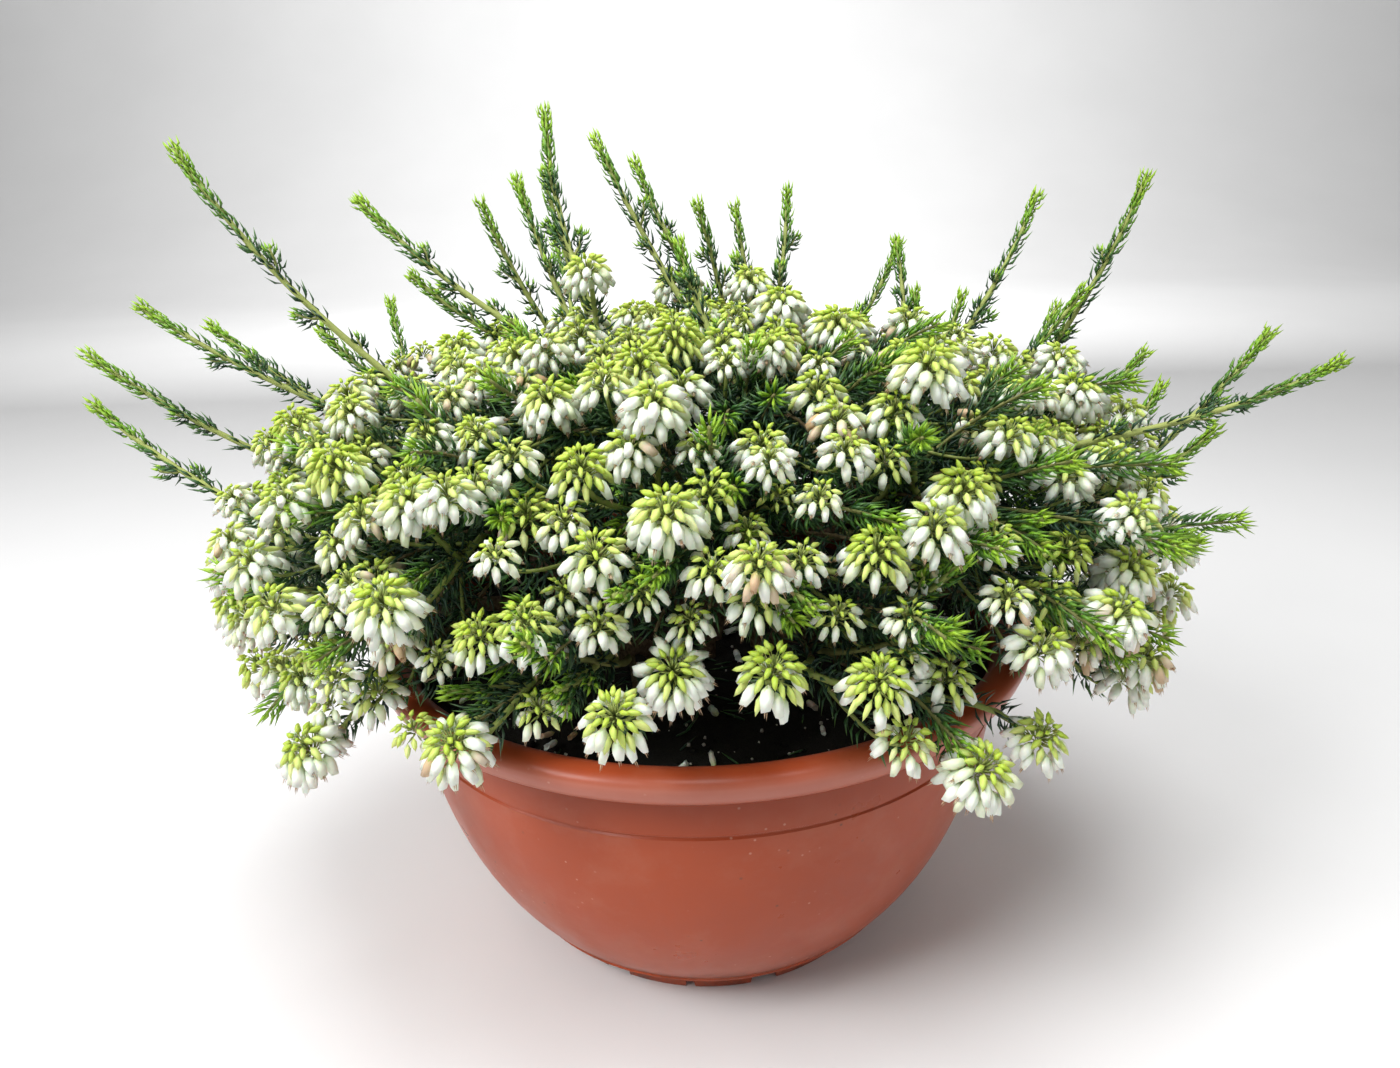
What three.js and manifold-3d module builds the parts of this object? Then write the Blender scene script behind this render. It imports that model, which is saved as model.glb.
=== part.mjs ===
// A winter-flowering heath in a low round plastic bowl.
// Millimetres, +Z up, origin at the middle of the bowl's base, the front of the plant towards -Y.
//
// Woody stems stand in holes in the soil and fork under the dome of foliage. Each fork carries leafy
// shoots, some of them long, and two bunches of nodding flower heads on stalks of their own.

import * as THREE from 'three';
import { mergeVertices } from 'three/addons/utils/BufferGeometryUtils.js';
import Module from 'manifold-3d';

const wasm = await Module();
wasm.setup();

// Bowl
const ROUND_STEPS = 28;
const RIM_RADIUS = 115;
const RIM_WIDTH = 10;
const RIM_HEIGHT = 115.5;
const LIP_HEIGHT = 112;
const WALL_TOP = 105.5;
const WALL_CURVE_HEIGHT = 103;
const WALL_CURVE_FOOT = 56;
const WALL_CURVE_RISE = 48;
const WALL_CURVE_POWER = 1 / 1.6;
const WALL_HEIGHTS = [20, 34, 54];
const WALL_THICKNESS = 2.6;
const FOOT_INNER = 59;
const FOOT_OUTER = 66.5;
const FOOT_HEIGHT = 4;
const FLOOR_TOP = 8;
const FLOOR_EDGE = 64;
const FLOOR_CURVE = 12;
const GROOVE_HEIGHT = 89;
const GROOVE_STEP = 0.8;
const RIB_HEIGHTS = [8.5, 12];
const RIB_STEP = 0.9;
const NOTCH_HEIGHT = 2.6;
const NOTCHES = [
  { turn: -97, width: 3 }, { turn: -75, width: 9 }, { turn: -25, width: 9 }, { turn: 20, width: 9 },
  { turn: 65, width: 9 }, { turn: 110, width: 9 }, { turn: 155, width: 9 }, { turn: -160, width: 9 },
  { turn: -120, width: 9 },
];

// Soil
const SOIL_TOP = 104.5;
const SOIL_EDGE_DROP = 1.5;
const SOIL_EDGE_GAP = 1.2;
const SOIL_ROUGHNESS = 3.2;
const TOUCH_GAP = 0.3;
const HOLE_DEPTH = 12;
const HOLE_ROOM = 0.7;

// Dome of foliage: reach of the flower heads' middles from the bowl's axis, and their height
const DOME_SIDE = 158;
const DOME_FRONT = 116;
const DOME_BACK = 114;
const DOME_LEVEL = 128;
const DOME_RISE = 86;
const DOME_SQUARENESS = 0.83;

// Rows of woody stems: how far they lean out, how many, and where they leave the soil
const STEM_ROWS = [
  { lean: 20, count: 4, firstTurn: 40, bunchTurn: 24, bunchLean: 7, soilReach: 9, shootLean: 12 },
  { lean: 56, count: 7, firstTurn: -90, bunchTurn: 12.5, bunchLean: 9, soilReach: 27, shootLean: -17 },
  { lean: 92, count: 8, firstTurn: -67, bunchTurn: 11.5, bunchLean: 7, soilReach: 46, shootLean: -14 },
];
const FRONT_SQUEEZE = 0.86;
const STEM_SHARE = 0.96;
const BEND_SHARE = 0.3;
const BEND_RISE = 36.1;
const FORK_AT = 0.62;
const STEM_STEPS = 3;
const FORK_PLACES = 5;
const FORK_SPACING = 0.28;
const STEM_FOOT_RISE = 5;
const STEM_RADIUS = 3;
const STEM_END_RADIUS = 2.4;
const BRANCH_ROOT_RADIUS = 1.05;

// Long shoots that stand out of the dome: the place of each tip
const LONG_SHOOT_TIPS = [
  [-165, 12, 274], [-190, 18, 224], [-178, 40, 214], [-210, 14, 209], [-198, -8, 196],
  [-114, 30, 256], [-100, 34, 230], [-131, 22, 214], [-76, 50, 253], [-62, 48, 261],
  [-47, 26, 282], [-54, 66, 263], [-33, 50, 274], [-20, 66, 266], [3, 50, 251],
  [18, 80, 249], [38, 72, 254], [-4, 8, 240], [78, 60, 235], [84, 50, 217],
  [98, 36, 217], [127, 50, 250], [158, 30, 256], [140, 30, 218], [165, 30, 195],
  [163, 10, 187], [199, 12, 204], [213, -8, 197], [172, -12, 176], [56, -78, 195],
  [97, -60, 190], [66, -100, 168], [92, -82, 172], [27, -115, 163], [-38, -106, 138],
  [-70, -92, 131], [-21, -113, 167], [-130, 104, 214], [-60, 124, 236],
  [20, 132, 226], [92, 122, 230], [150, 82, 206],
];
const SHORT_SHOOT_RISE = 1.07;
const LONG_BOW = 0.1;
const SHORT_BOW = 0.05;
const SHOOT_RADIUS = 1.2;
const LEAFY_RADIUS = 1.6;
const GOLDEN_ANGLE = 2.4;
const CROWDING = 14;
const FULL_STEM = 4;
const LEAVE_PHASE = 4.15;
const LEAVE_ALONG = 12;
const LEAVE_ASIDE = 12.5;
const FIRST_BEND = 10;

// Needles
const NEEDLE_LENGTH = 8.5;
const NEEDLE_BASE = 1.9;
const WHORL_PITCH = 16;
const TIP_PITCH = 4.5;
const TIP_WHORLS = 1;
const NEEDLE_LEAN = 48;
const TIP_NEEDLE_LEAN = 24;
const BARE_SHARE = 0.5;

// Flower heads
const HEAD_CORE = 7.2;
const FLORET_LENGTH = 6.2;
const HEAD_REACH = 12.4;
const HEAD_DROOP = 0.032;
const HEAD_SEAT = 0.72;
const TOP_BUD = 0.75;
const HANGING_BUD = 1.05;
const BELLY_SWELL = 0.95;
const BELLY_HEIGHT = 0.5;
const HEAD_SPREAD = 14.5;
const FULL_BUNCH_EVERY = 8;
const HEAD_GAP = 0.8;
const HEAD_LIFT = 0.9;
const LIFT_HEIGHT = 45;
const LOWEST_HEAD = 112;
const FRONT_GAP = { turn: -89, halfWidth: 21, lowestHead: 141 };
const SHOOT_ROOM = 3.9;
const RIM_ROOM = 8.6;
const NEEDLE_ROOM = 2.8;
const SETTLE_PASSES = 80;
const BUNCH_ROOT_AT = 0.45;
const STALK_RADIUS = 1.15;
const STALK_BRANCH_RADIUS = 0.52;
const STALK_RIM_ROOM = 6;
const STALK_BEND = 12;
const STALK_SPLIT = 0.3;

const SCRAP_VOLUME = 0.5;
const WELD_GRID = 0.004;
const UP = new THREE.Vector3(0, 0, 1);

// A repeatable draw between 0 and 1 for item i, use k.
function draw(i, k) {
  const value = Math.sin(i * 12.9898 + k * 78.233) * 43758.5453;
  return value - Math.floor(value);
}

function vec(x, y, z) {
  return new THREE.Vector3(x, y, z);
}

// Solids

function solidFromGeometry(geometry) {
  const bare = new THREE.BufferGeometry();
  bare.setAttribute('position', geometry.getAttribute('position'));
  bare.setIndex(geometry.getIndex());
  const merged = mergeVertices(bare, 1e-3);
  return new wasm.Manifold(new wasm.Mesh({
    numProp: 3,
    vertProperties: new Float32Array(merged.getAttribute('position').array),
    triVerts: new Uint32Array(merged.getIndex().array),
  }));
}

function solidFromFaces(points, faces) {
  const geometry = new THREE.BufferGeometry();
  const flat = points.flatMap((p) => [p.x, p.y, p.z]);
  geometry.setAttribute('position', new THREE.Float32BufferAttribute(flat, 3));
  geometry.setIndex(faces.flat());
  return solidFromGeometry(geometry);
}

function joinAll(solids) {
  return solids.reduce((whole, next) => whole.add(next));
}

function largestBody(solid) {
  const bodies = solid.decompose();
  bodies.sort((a, b) => b.volume() - a.volume());
  if (bodies.length > 1 && bodies[1].volume() > SCRAP_VOLUME) {
    throw new Error(`a piece falls apart: ${bodies.map((body) => body.volume().toFixed(2))}`);
  }
  return bodies[0];
}

// The same skin with every corner on a fine grid, without the faces that this makes empty.
function welded(solid) {
  const mesh = solid.getMesh();
  const points = [];
  const indexOf = new Map();
  const moved = [];
  for (let i = 0; i < mesh.vertProperties.length; i += mesh.numProp) {
    const place = [0, 1, 2].map((k) => Math.round(mesh.vertProperties[i + k] / WELD_GRID));
    const key = place.join();
    if (!indexOf.has(key)) {
      indexOf.set(key, points.length);
      points.push(vec(...place).multiplyScalar(WELD_GRID));
    }
    moved.push(indexOf.get(key));
  }
  const faces = [];
  for (let i = 0; i < mesh.triVerts.length; i += 3) {
    const face = [0, 1, 2].map((k) => moved[mesh.triVerts[i + k]]);
    if (new Set(face).size === 3) {
      faces.push(face);
    }
  }
  return solidFromFaces(points, faces);
}

// The joined piece without the scraps and sealed hollows that joining can leave, also once close corners
// are merged. A piece that is in two real parts is an error.
function oneBody(solid) {
  return largestBody(welded(largestBody(solid)));
}

// The skin as a geometry in which each face starts at its lowest corner.
function geometryFromSolid(solid) {
  const mesh = solid.getMesh();
  const geometry = new THREE.BufferGeometry();
  const places = [];
  for (let i = 0; i < mesh.vertProperties.length; i += mesh.numProp) {
    places.push(mesh.vertProperties[i], mesh.vertProperties[i + 1], mesh.vertProperties[i + 2]);
  }
  const corners = [];
  for (let i = 0; i < mesh.triVerts.length; i += 3) {
    const face = [0, 1, 2].map((k) => mesh.triVerts[i + k]);
    const heights = face.map((index) => places[3 * index + 2]);
    const lowest = heights.indexOf(Math.min(...heights));
    corners.push(face[lowest], face[(lowest + 1) % 3], face[(lowest + 2) % 3]);
  }
  geometry.setAttribute('position', new THREE.Float32BufferAttribute(places, 3));
  geometry.setIndex(corners);
  return geometry;
}

// Curves

function bezierPath(from, control, to, steps, first = 0, last = 1) {
  const curve = new THREE.QuadraticBezierCurve3(from, control, to);
  const points = [];
  for (let i = 0; i <= steps; i += 1) {
    points.push(curve.getPoint(first + ((last - first) * i) / steps));
  }
  return points;
}

// The corners of a three-sided rod along rings. Each ring has a place, a radius and a turn about the path.
function rodCorners(rings, points) {
  const tangents = rings.map((ring, i) => {
    const ahead = rings[Math.min(i + 1, rings.length - 1)].at;
    const behind = rings[Math.max(i - 1, 0)].at;
    return ring.tangent ?? ahead.clone().sub(behind).normalize();
  });
  let side = Math.abs(tangents[0].x) > 0.8 ? vec(0, 1, 0) : vec(1, 0, 0);
  const corners = rings.map((ring, i) => {
    side = side.clone().addScaledVector(tangents[i], -side.dot(tangents[i])).normalize();
    const other = tangents[i].clone().cross(side);
    return [0, 1, 2].map((corner) => {
      const angle = (ring.turn ?? 0) + (corner * 2 * Math.PI) / 3;
      const out = side.clone().multiplyScalar(Math.cos(angle)).addScaledVector(other, Math.sin(angle));
      points.push(ring.at.clone().addScaledVector(out, ring.radius));
      return points.length - 1;
    });
  });
  return { corners, tangents };
}

// The two faces of a loop of four corners, split along its shorter diagonal.
function splitLoop(loop, points) {
  const [a, b, c, d] = loop;
  const isFirstShorter = points[a].distanceTo(points[c]) <= points[b].distanceTo(points[d]);
  return isFirstShorter ? [[a, b, c], [a, c, d]] : [[a, b, d], [b, c, d]];
}

// The rod's start face and sides. A ring with a leaf raises the three faces that follow it into needles.
function rodSides(rings, points, faces) {
  const { corners, tangents } = rodCorners(rings, points);
  faces.push([corners[0][0], corners[0][2], corners[0][1]]);
  for (let i = 0; i + 1 < rings.length; i += 1) {
    for (let corner = 0; corner < 3; corner += 1) {
      const next = (corner + 1) % 3;
      const loop = [corners[i][corner], corners[i][next], corners[i + 1][next], corners[i + 1][corner]];
      const tip = rings[i].leaf ? needleTip(loop.map((index) => points[index]), rings[i], tangents[i]) : null;
      if (tip) {
        points.push(tip);
        const apex = points.length - 1;
        loop.forEach((index, k) => faces.push([index, loop[(k + 1) % 4], apex]));
      } else {
        faces.push(...splitLoop(loop, points));
      }
    }
  }
  return corners[corners.length - 1];
}

function rod(rings) {
  const points = [];
  const faces = [];
  const end = rodSides(rings, points, faces);
  const last = rings[rings.length - 1];
  if (last.tip) {
    points.push(last.tip);
    const apex = points.length - 1;
    end.forEach((index, i) => faces.push([index, end[(i + 1) % 3], apex]));
  } else {
    faces.push(end);
  }
  return solidFromFaces(points, faces);
}

// The tip of a needle that grows from a face of the rod, or nothing where it would meet another piece.
function needleTip(corners, ring, tangent) {
  const root = corners.reduce((sum, p) => sum.add(p), vec(0, 0, 0)).multiplyScalar(0.25);
  const out = root.clone().sub(ring.at);
  out.addScaledVector(tangent, -out.dot(tangent)).normalize();
  const lean = THREE.MathUtils.degToRad(ring.leaf.lean);
  const along = tangent.clone().multiplyScalar(Math.cos(lean)).addScaledVector(out, Math.sin(lean));
  const tip = root.clone().addScaledVector(along, ring.leaf.length);
  const middle = root.clone().lerp(tip, 0.55);
  return ring.leaf.isFree(tip) && ring.leaf.isFree(middle) ? tip : null;
}

// Bowl and soil

function wallRadius(z) {
  const depth = (WALL_CURVE_HEIGHT - z) / WALL_CURVE_HEIGHT;
  return WALL_CURVE_FOOT + WALL_CURVE_RISE * (1 - depth ** 2) ** WALL_CURVE_POWER;
}

function turned(profile) {
  const points = profile.map(([r, z]) => new THREE.Vector2(r, z));
  const geometry = new THREE.LatheGeometry(points, ROUND_STEPS);
  geometry.rotateX(Math.PI / 2);
  return geometry;
}

function lipProfile() {
  return [
    [wallRadius(WALL_TOP), WALL_TOP], [RIM_RADIUS - 2.2, WALL_TOP + 1], [RIM_RADIUS, LIP_HEIGHT],
    [RIM_RADIUS - 1.4, RIM_HEIGHT - 1.2], [RIM_RADIUS - RIM_WIDTH / 2, RIM_HEIGHT],
    [RIM_RADIUS - RIM_WIDTH, RIM_HEIGHT - 2],
  ];
}

// Two small ledges that run round the wall just above the foot.
function ribProfile() {
  return RIB_HEIGHTS.flatMap((z) => [
    [wallRadius(z) + RIB_STEP, z], [wallRadius(z + RIB_STEP) - 0.2, z + RIB_STEP],
  ]);
}

function innerWall(offset) {
  const heights = [WALL_TOP - 3, WALL_TOP / 2, FLOOR_TOP + FLOOR_CURVE];
  return heights.map((z) => [wallRadius(z) - WALL_THICKNESS - offset, z + offset / 2]);
}

function bowlSolid() {
  const onWall = (z, step) => [wallRadius(z) - step, z];
  const profile = [
    [0, FOOT_HEIGHT], [FOOT_INNER - 2, FOOT_HEIGHT], [FOOT_INNER, 0], [FOOT_OUTER, 0],
    [FOOT_OUTER + 1, FOOT_HEIGHT + 1], ...ribProfile(), ...WALL_HEIGHTS.map((z) => onWall(z, 0)),
    onWall(GROOVE_HEIGHT - 1, 0), onWall(GROOVE_HEIGHT, GROOVE_STEP), onWall(GROOVE_HEIGHT + 1, 0),
    ...lipProfile(), ...innerWall(0), [FLOOR_EDGE, FLOOR_TOP], [0, FLOOR_TOP],
  ];
  let bowl = solidFromGeometry(turned(profile));
  for (const notch of NOTCHES) {
    const slot = new THREE.BoxGeometry(FOOT_OUTER, notch.width, 2 * NOTCH_HEIGHT);
    slot.translate(FOOT_OUTER, 0, 0);
    slot.rotateZ(THREE.MathUtils.degToRad(notch.turn));
    bowl = bowl.subtract(solidFromGeometry(slot));
  }
  return bowl;
}

function soilSolid(holes) {
  const side = innerWall(TOUCH_GAP).reverse();
  const topEdge = wallRadius(SOIL_TOP) - WALL_THICKNESS - SOIL_EDGE_GAP;
  const profile = [
    [0, FLOOR_TOP + TOUCH_GAP], [FLOOR_EDGE - 0.5, FLOOR_TOP + TOUCH_GAP], ...side.slice(0, 2),
    [topEdge, SOIL_TOP - SOIL_EDGE_DROP], [topEdge * 0.6, SOIL_TOP], [0, SOIL_TOP],
  ];
  const geometry = turned(profile);
  const place = geometry.getAttribute('position');
  for (let i = 0; i < place.count; i += 1) {
    const reach = Math.hypot(place.getX(i), place.getY(i));
    if (place.getZ(i) > SOIL_TOP - 0.1 && reach > 1) {
      const turn = Math.round((Math.atan2(place.getY(i), place.getX(i)) * ROUND_STEPS) / (2 * Math.PI));
      const lump = draw((turn + ROUND_STEPS) % ROUND_STEPS, Math.round(reach)) - 0.5;
      place.setZ(i, place.getZ(i) + SOIL_ROUGHNESS * lump);
    }
  }
  return holes.reduce((soil, hole) => soil.subtract(hole), solidFromGeometry(geometry));
}

// Layout of the plant

function domePoint(turn, lean, share = 1) {
  const across = THREE.MathUtils.degToRad(turn);
  const down = THREE.MathUtils.degToRad(lean);
  const depth = Math.sin(across) < 0 ? DOME_FRONT : DOME_BACK;
  const reach = 1 / Math.hypot(Math.cos(across) / DOME_SIDE, Math.sin(across) / depth);
  const out = share * reach * Math.sin(down) ** DOME_SQUARENESS;
  const rise = share * DOME_RISE * Math.sign(Math.cos(down)) * Math.abs(Math.cos(down)) ** DOME_SQUARENESS;
  return vec(out * Math.cos(across), out * Math.sin(across), DOME_LEVEL + rise);
}

function layStem(index, row, turn) {
  const across = THREE.MathUtils.degToRad(turn);
  const wobble = 0.9 + 0.2 * draw(index, 1);
  const reach = row.soilReach * wobble * (Math.sin(across) < 0 ? FRONT_SQUEEZE : 1);
  const root = vec(reach * Math.cos(across), reach * Math.sin(across), SOIL_TOP);
  const start = root.clone().addScaledVector(UP, STEM_FOOT_RISE);
  const end = domePoint(turn, row.lean, STEM_SHARE);
  const control = start.clone().lerp(end, BEND_SHARE);
  control.z = 0.5 * (Math.max(start.z, end.z) + DOME_LEVEL + BEND_RISE);
  const path = bezierPath(start, control, end, STEM_STEPS, 0, FORK_AT);
  return { index, row, turn, root, path, end, forks: 0, shoots: [] };
}

// Each new side branch leaves the stem a little lower than the last, and the fifth starts at the top again.
function nextFork(stem) {
  const top = STEM_STEPS - 1e-3 - FORK_SPACING * (stem.forks % FORK_PLACES);
  stem.forks += 1;
  return stem.path[Math.floor(top)].clone().lerp(stem.path[Math.floor(top) + 1], top % 1);
}

function layStems() {
  const stems = [];
  for (const row of STEM_ROWS) {
    for (let i = 0; i < row.count; i += 1) {
      const turn = row.firstTurn + (i * 360) / row.count + 8 * (draw(stems.length, 2) - 0.5);
      stems.push(layStem(stems.length, row, turn));
    }
  }
  return stems;
}

// A shoot leaves its stem sideways, each one to another side, and then bends towards its tip.
function shootPath(stem, tip, bow) {
  const angle = LEAVE_PHASE + GOLDEN_ANGLE * stem.forks;
  const fork = nextFork(stem);
  const length = tip.distanceTo(fork);
  const axis = stem.path[STEM_STEPS].clone().sub(stem.path[STEM_STEPS - 1]).normalize();
  const across = axis.clone().cross(UP).normalize();
  const over = axis.clone().cross(across);
  const leave = fork.clone().addScaledVector(tip.clone().sub(fork), LEAVE_ALONG / length)
    .addScaledVector(across, LEAVE_ASIDE * Math.cos(angle))
    .addScaledVector(over, LEAVE_ASIDE * Math.sin(angle));
  const bend = fork.clone().lerp(tip, 0.5);
  const out = vec(tip.x, tip.y, 0).normalize();
  bend.addScaledVector(out, bow * length).addScaledVector(UP, -0.5 * bow * length);
  return new THREE.CubicBezierCurve3(fork, leave, bend, tip);
}

// A long shoot grows from the stem whose dome place lies nearest under its tip.
function nearestStem(stems, tip) {
  const cost = (stem) => stem.end.distanceTo(tip) + CROWDING * stem.shoots.length;
  return stems.reduce((best, stem) => (cost(stem) < cost(best) ? stem : best));
}

function layShoots(stems) {
  for (const [x, y, z] of LONG_SHOOT_TIPS) {
    const tip = vec(x, y, z);
    const stem = nearestStem(stems, tip);
    stem.shoots.push(shootPath(stem, tip, LONG_BOW));
  }
  for (const stem of stems.filter((item) => item.shoots.length < FULL_STEM)) {
    const sway = 0.5 * stem.row.bunchTurn * (draw(stem.index, 10) - 0.5);
    const lean = stem.row.lean + stem.row.shootLean + 6 * (draw(stem.index, 20) - 0.5);
    stem.shoots.push(shootPath(stem, domePoint(stem.turn + sway, lean, SHORT_SHOOT_RISE), SHORT_BOW));
  }
}

function layBunch(stem, side) {
  const turn = stem.turn + side * stem.row.bunchTurn;
  const lean = stem.row.lean + side * stem.row.bunchLean;
  const middle = domePoint(turn, lean);
  const fork = nextFork(stem);
  const root = fork.clone().lerp(middle, BUNCH_ROOT_AT);
  const heading = middle.clone().sub(fork).normalize();
  return { stem, side, middle, fork, root, heading, heads: [] };
}

function layHeads(bunches) {
  const heads = [];
  bunches.forEach((bunch, b) => {
    const count = b % FULL_BUNCH_EVERY === 1 ? 3 : 2;
    const outward = bunch.middle.clone().sub(vec(0, 0, DOME_LEVEL - 40)).normalize();
    const along = UP.clone().cross(outward).normalize();
    const upward = outward.clone().cross(along);
    for (let i = 0; i < count; i += 1) {
      const angle = 2 * Math.PI * (draw(b, 4) + i / count);
      const at = bunch.middle.clone()
        .addScaledVector(along, HEAD_SPREAD * Math.cos(angle))
        .addScaledVector(upward, HEAD_SPREAD * Math.sin(angle));
      const lift = HEAD_LIFT * THREE.MathUtils.clamp((at.z - RIM_HEIGHT) / LIFT_HEIGHT, 0.1, 1);
      const axis = outward.clone().addScaledVector(UP, lift).normalize();
      const size = 0.88 + 0.22 * draw(b, 30 + i);
      const head = { bunch, at, axis, size, turn: 2 * Math.PI * draw(b, 40 + i) };
      bunch.heads.push(head);
      heads.push(head);
    }
  });
  return heads;
}

function nearestRimPoint(point) {
  const share = (RIM_RADIUS - 4) / Math.max(Math.hypot(point.x, point.y), 1);
  return vec(point.x * share, point.y * share, RIM_HEIGHT - 4);
}

// Heads hang no lower than the lip, and higher over the gap at the front where the soil shows.
function lowestPlace(point) {
  const turn = THREE.MathUtils.radToDeg(Math.atan2(point.y, point.x));
  return Math.abs(turn - FRONT_GAP.turn) < FRONT_GAP.halfWidth ? FRONT_GAP.lowestHead : LOWEST_HEAD;
}

// Heads that stand too close to each other or to a shoot move apart, a little at a time.
function settleHeads(heads, posts) {
  const push = (point, from, room, share) => {
    const apart = point.clone().sub(from);
    const short = room - apart.length();
    if (short > 0) {
      point.addScaledVector(apart.normalize(), short * share);
    }
    return short > 0 ? apart.multiplyScalar(short * share) : null;
  };
  for (let pass = 0; pass < SETTLE_PASSES; pass += 1) {
    for (let a = 0; a < heads.length; a += 1) {
      for (let b = a + 1; b < heads.length; b += 1) {
        const room = HEAD_REACH * (heads[a].size + heads[b].size) + HEAD_GAP;
        const moved = push(heads[a].at, heads[b].at, room, 0.5);
        if (moved) {
          heads[b].at.sub(moved);
        }
      }
      for (const post of posts) {
        push(heads[a].at, post, HEAD_REACH * heads[a].size + SHOOT_ROOM, 1);
      }
      push(heads[a].at, nearestRimPoint(heads[a].at), HEAD_REACH * heads[a].size + RIM_ROOM, 1);
      heads[a].at.z = Math.max(heads[a].at.z, lowestPlace(heads[a].at));
    }
  }
}

// The first head's stalk starts at the bunch's root, and the others branch off it.
function layStalks(bunch) {
  const bends = bunch.heads.map((head) => {
    const below = head.at.clone().addScaledVector(head.axis, -STALK_BEND);
    below.z = Math.max(below.z, RIM_HEIGHT + STALK_RIM_ROOM);
    return below;
  });
  const split = bunch.root.clone().lerp(bends[0], STALK_SPLIT);
  bunch.stalks = bends.map((bend, i) => {
    const foot = i === 0
      ? { at: bunch.root, tangent: bunch.heading, radius: STALK_RADIUS }
      : { at: split, radius: STALK_BRANCH_RADIUS };
    return [foot, { at: bend, radius: STALK_RADIUS }];
  });
}

// Needles keep clear of the bowl's lip, the flower heads and their stalks.
function freeSpace(bunches) {
  const balls = bunches.flatMap((bunch) => bunch.heads.map((head) => (
    { at: head.at, reach: HEAD_REACH * head.size + NEEDLE_ROOM })));
  for (const stalk of bunches.flatMap((bunch) => bunch.stalks)) {
    for (let share = 0; share <= 1; share += 0.125) {
      balls.push({ at: stalk[0].at.clone().lerp(stalk[1].at, share), reach: STALK_RADIUS + NEEDLE_ROOM });
    }
  }
  return (point) => point.distanceTo(nearestRimPoint(point)) > RIM_ROOM
    && balls.every((ball) => ball.at.distanceTo(point) > ball.reach);
}

// Plant pieces

function whorlRings(curve, isFree, startTurn) {
  const length = curve.getLength();
  const rings = [];
  let turn = startTurn;
  const addRing = (distance, radius, leaf) => {
    rings.push({ at: curve.getPointAt(Math.min(distance / length, 1)), radius, turn, leaf });
  };
  addRing(0, BRANCH_ROOT_RADIUS, null);
  addRing(FIRST_BEND, SHOOT_RADIUS, null);
  let distance = BARE_SHARE * length;
  while (distance < length - TIP_WHORLS * TIP_PITCH - NEEDLE_BASE) {
    turn += Math.PI / 3;
    addRing(distance, LEAFY_RADIUS, { lean: NEEDLE_LEAN, length: NEEDLE_LENGTH, isFree });
    addRing(distance + NEEDLE_BASE, LEAFY_RADIUS, null);
    distance += WHORL_PITCH;
  }
  for (let i = TIP_WHORLS; i > 0; i -= 1) {
    turn += Math.PI / 3;
    const start = length - i * TIP_PITCH;
    const leaf = { lean: TIP_NEEDLE_LEAN, length: 0.8 * NEEDLE_LENGTH, isFree };
    addRing(start, LEAFY_RADIUS, leaf);
    addRing(start + NEEDLE_BASE, LEAFY_RADIUS, null);
  }
  const last = rings[rings.length - 1];
  last.tip = last.at.clone().addScaledVector(curve.getTangent(1), 0.6 * NEEDLE_LENGTH);
  return rings;
}

function taperedRings(points, startRadius, endRadius) {
  return points.map((at, i) => {
    const share = i / (points.length - 1);
    return { at, radius: startRadius + share * (endRadius - startRadius) };
  });
}

function plainRod(points, startRadius, endRadius) {
  return rod(taperedRings(points, startRadius, endRadius));
}

function stemFoot(stem, room) {
  const foot = stem.root.clone().addScaledVector(UP, -HOLE_DEPTH - TOUCH_GAP);
  const top = stem.root.clone().addScaledVector(UP, STEM_FOOT_RISE - 1);
  return plainRod([foot, top], STEM_RADIUS + room, STEM_RADIUS + room);
}

function leafyStemSolid(stem, bunches, isFree) {
  const foot = stem.root.clone().addScaledVector(UP, -HOLE_DEPTH);
  const trunk = plainRod([foot, ...stem.path], STEM_RADIUS, STEM_END_RADIUS);
  const shoots = stem.shoots.map((curve, i) => (
    rod(whorlRings(curve, isFree, 2 * Math.PI * draw(stem.index, 50 + i)))));
  const twigs = bunches.map((bunch) => {
    const end = bunch.root.clone().addScaledVector(bunch.heading, -TOUCH_GAP);
    return plainRod([bunch.fork, end], BRANCH_ROOT_RADIUS, STALK_RADIUS);
  });
  return oneBody(joinAll([trunk, ...shoots, ...twigs]));
}

// One nodding head on its stalk: a small core whose faces are raised into buds on top, fat florets round
// the shoulder and long hanging ones below, and whose underside draws in to the stalk.
function headSolid(head, stalk) {
  const core = HEAD_CORE * head.size;
  const long = FLORET_LENGTH * head.size;
  const ring = (height, offset) => [0, 1, 2, 3, 4].map((i) => {
    const angle = head.turn + ((i + offset) * 2 * Math.PI) / 5;
    const out = core * Math.sqrt(1 - height ** 2);
    return vec(out * Math.cos(angle), out * Math.sin(angle), core * height);
  });
  const points = [vec(0, 0, core), ...ring(0.447, 0), ...ring(-0.447, 0.5)];
  const faces = [];
  for (let i = 0; i < 5; i += 1) {
    const upper = [1 + i, 1 + ((i + 1) % 5)];
    const lower = [6 + i, 6 + ((i + 1) % 5)];
    raiseBud(points, faces, [0, upper[0], upper[1]], TOP_BUD * long);
    raiseFloret(points, faces, [upper[0], lower[0], upper[1]], long);
    raiseBud(points, faces, [lower[0], lower[1], upper[1]], HANGING_BUD * long);
  }
  const stand = new THREE.Quaternion().setFromUnitVectors(UP, head.axis);
  for (const point of points) {
    point.z -= HEAD_DROOP * (point.x ** 2 + point.y ** 2);
    point.applyQuaternion(stand).add(head.at);
  }
  const rim = [6, 7, 8, 9, 10];
  const seat = head.at.clone().addScaledVector(head.axis, -HEAD_SEAT * core);
  const rings = [...stalk, { at: seat, tangent: head.axis, radius: STALK_RADIUS }];
  const end = rodSides(rings, points, faces);
  bridge(points, faces, end, rim, seat, head.axis);
  return solidFromFaces(points, faces);
}

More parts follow.
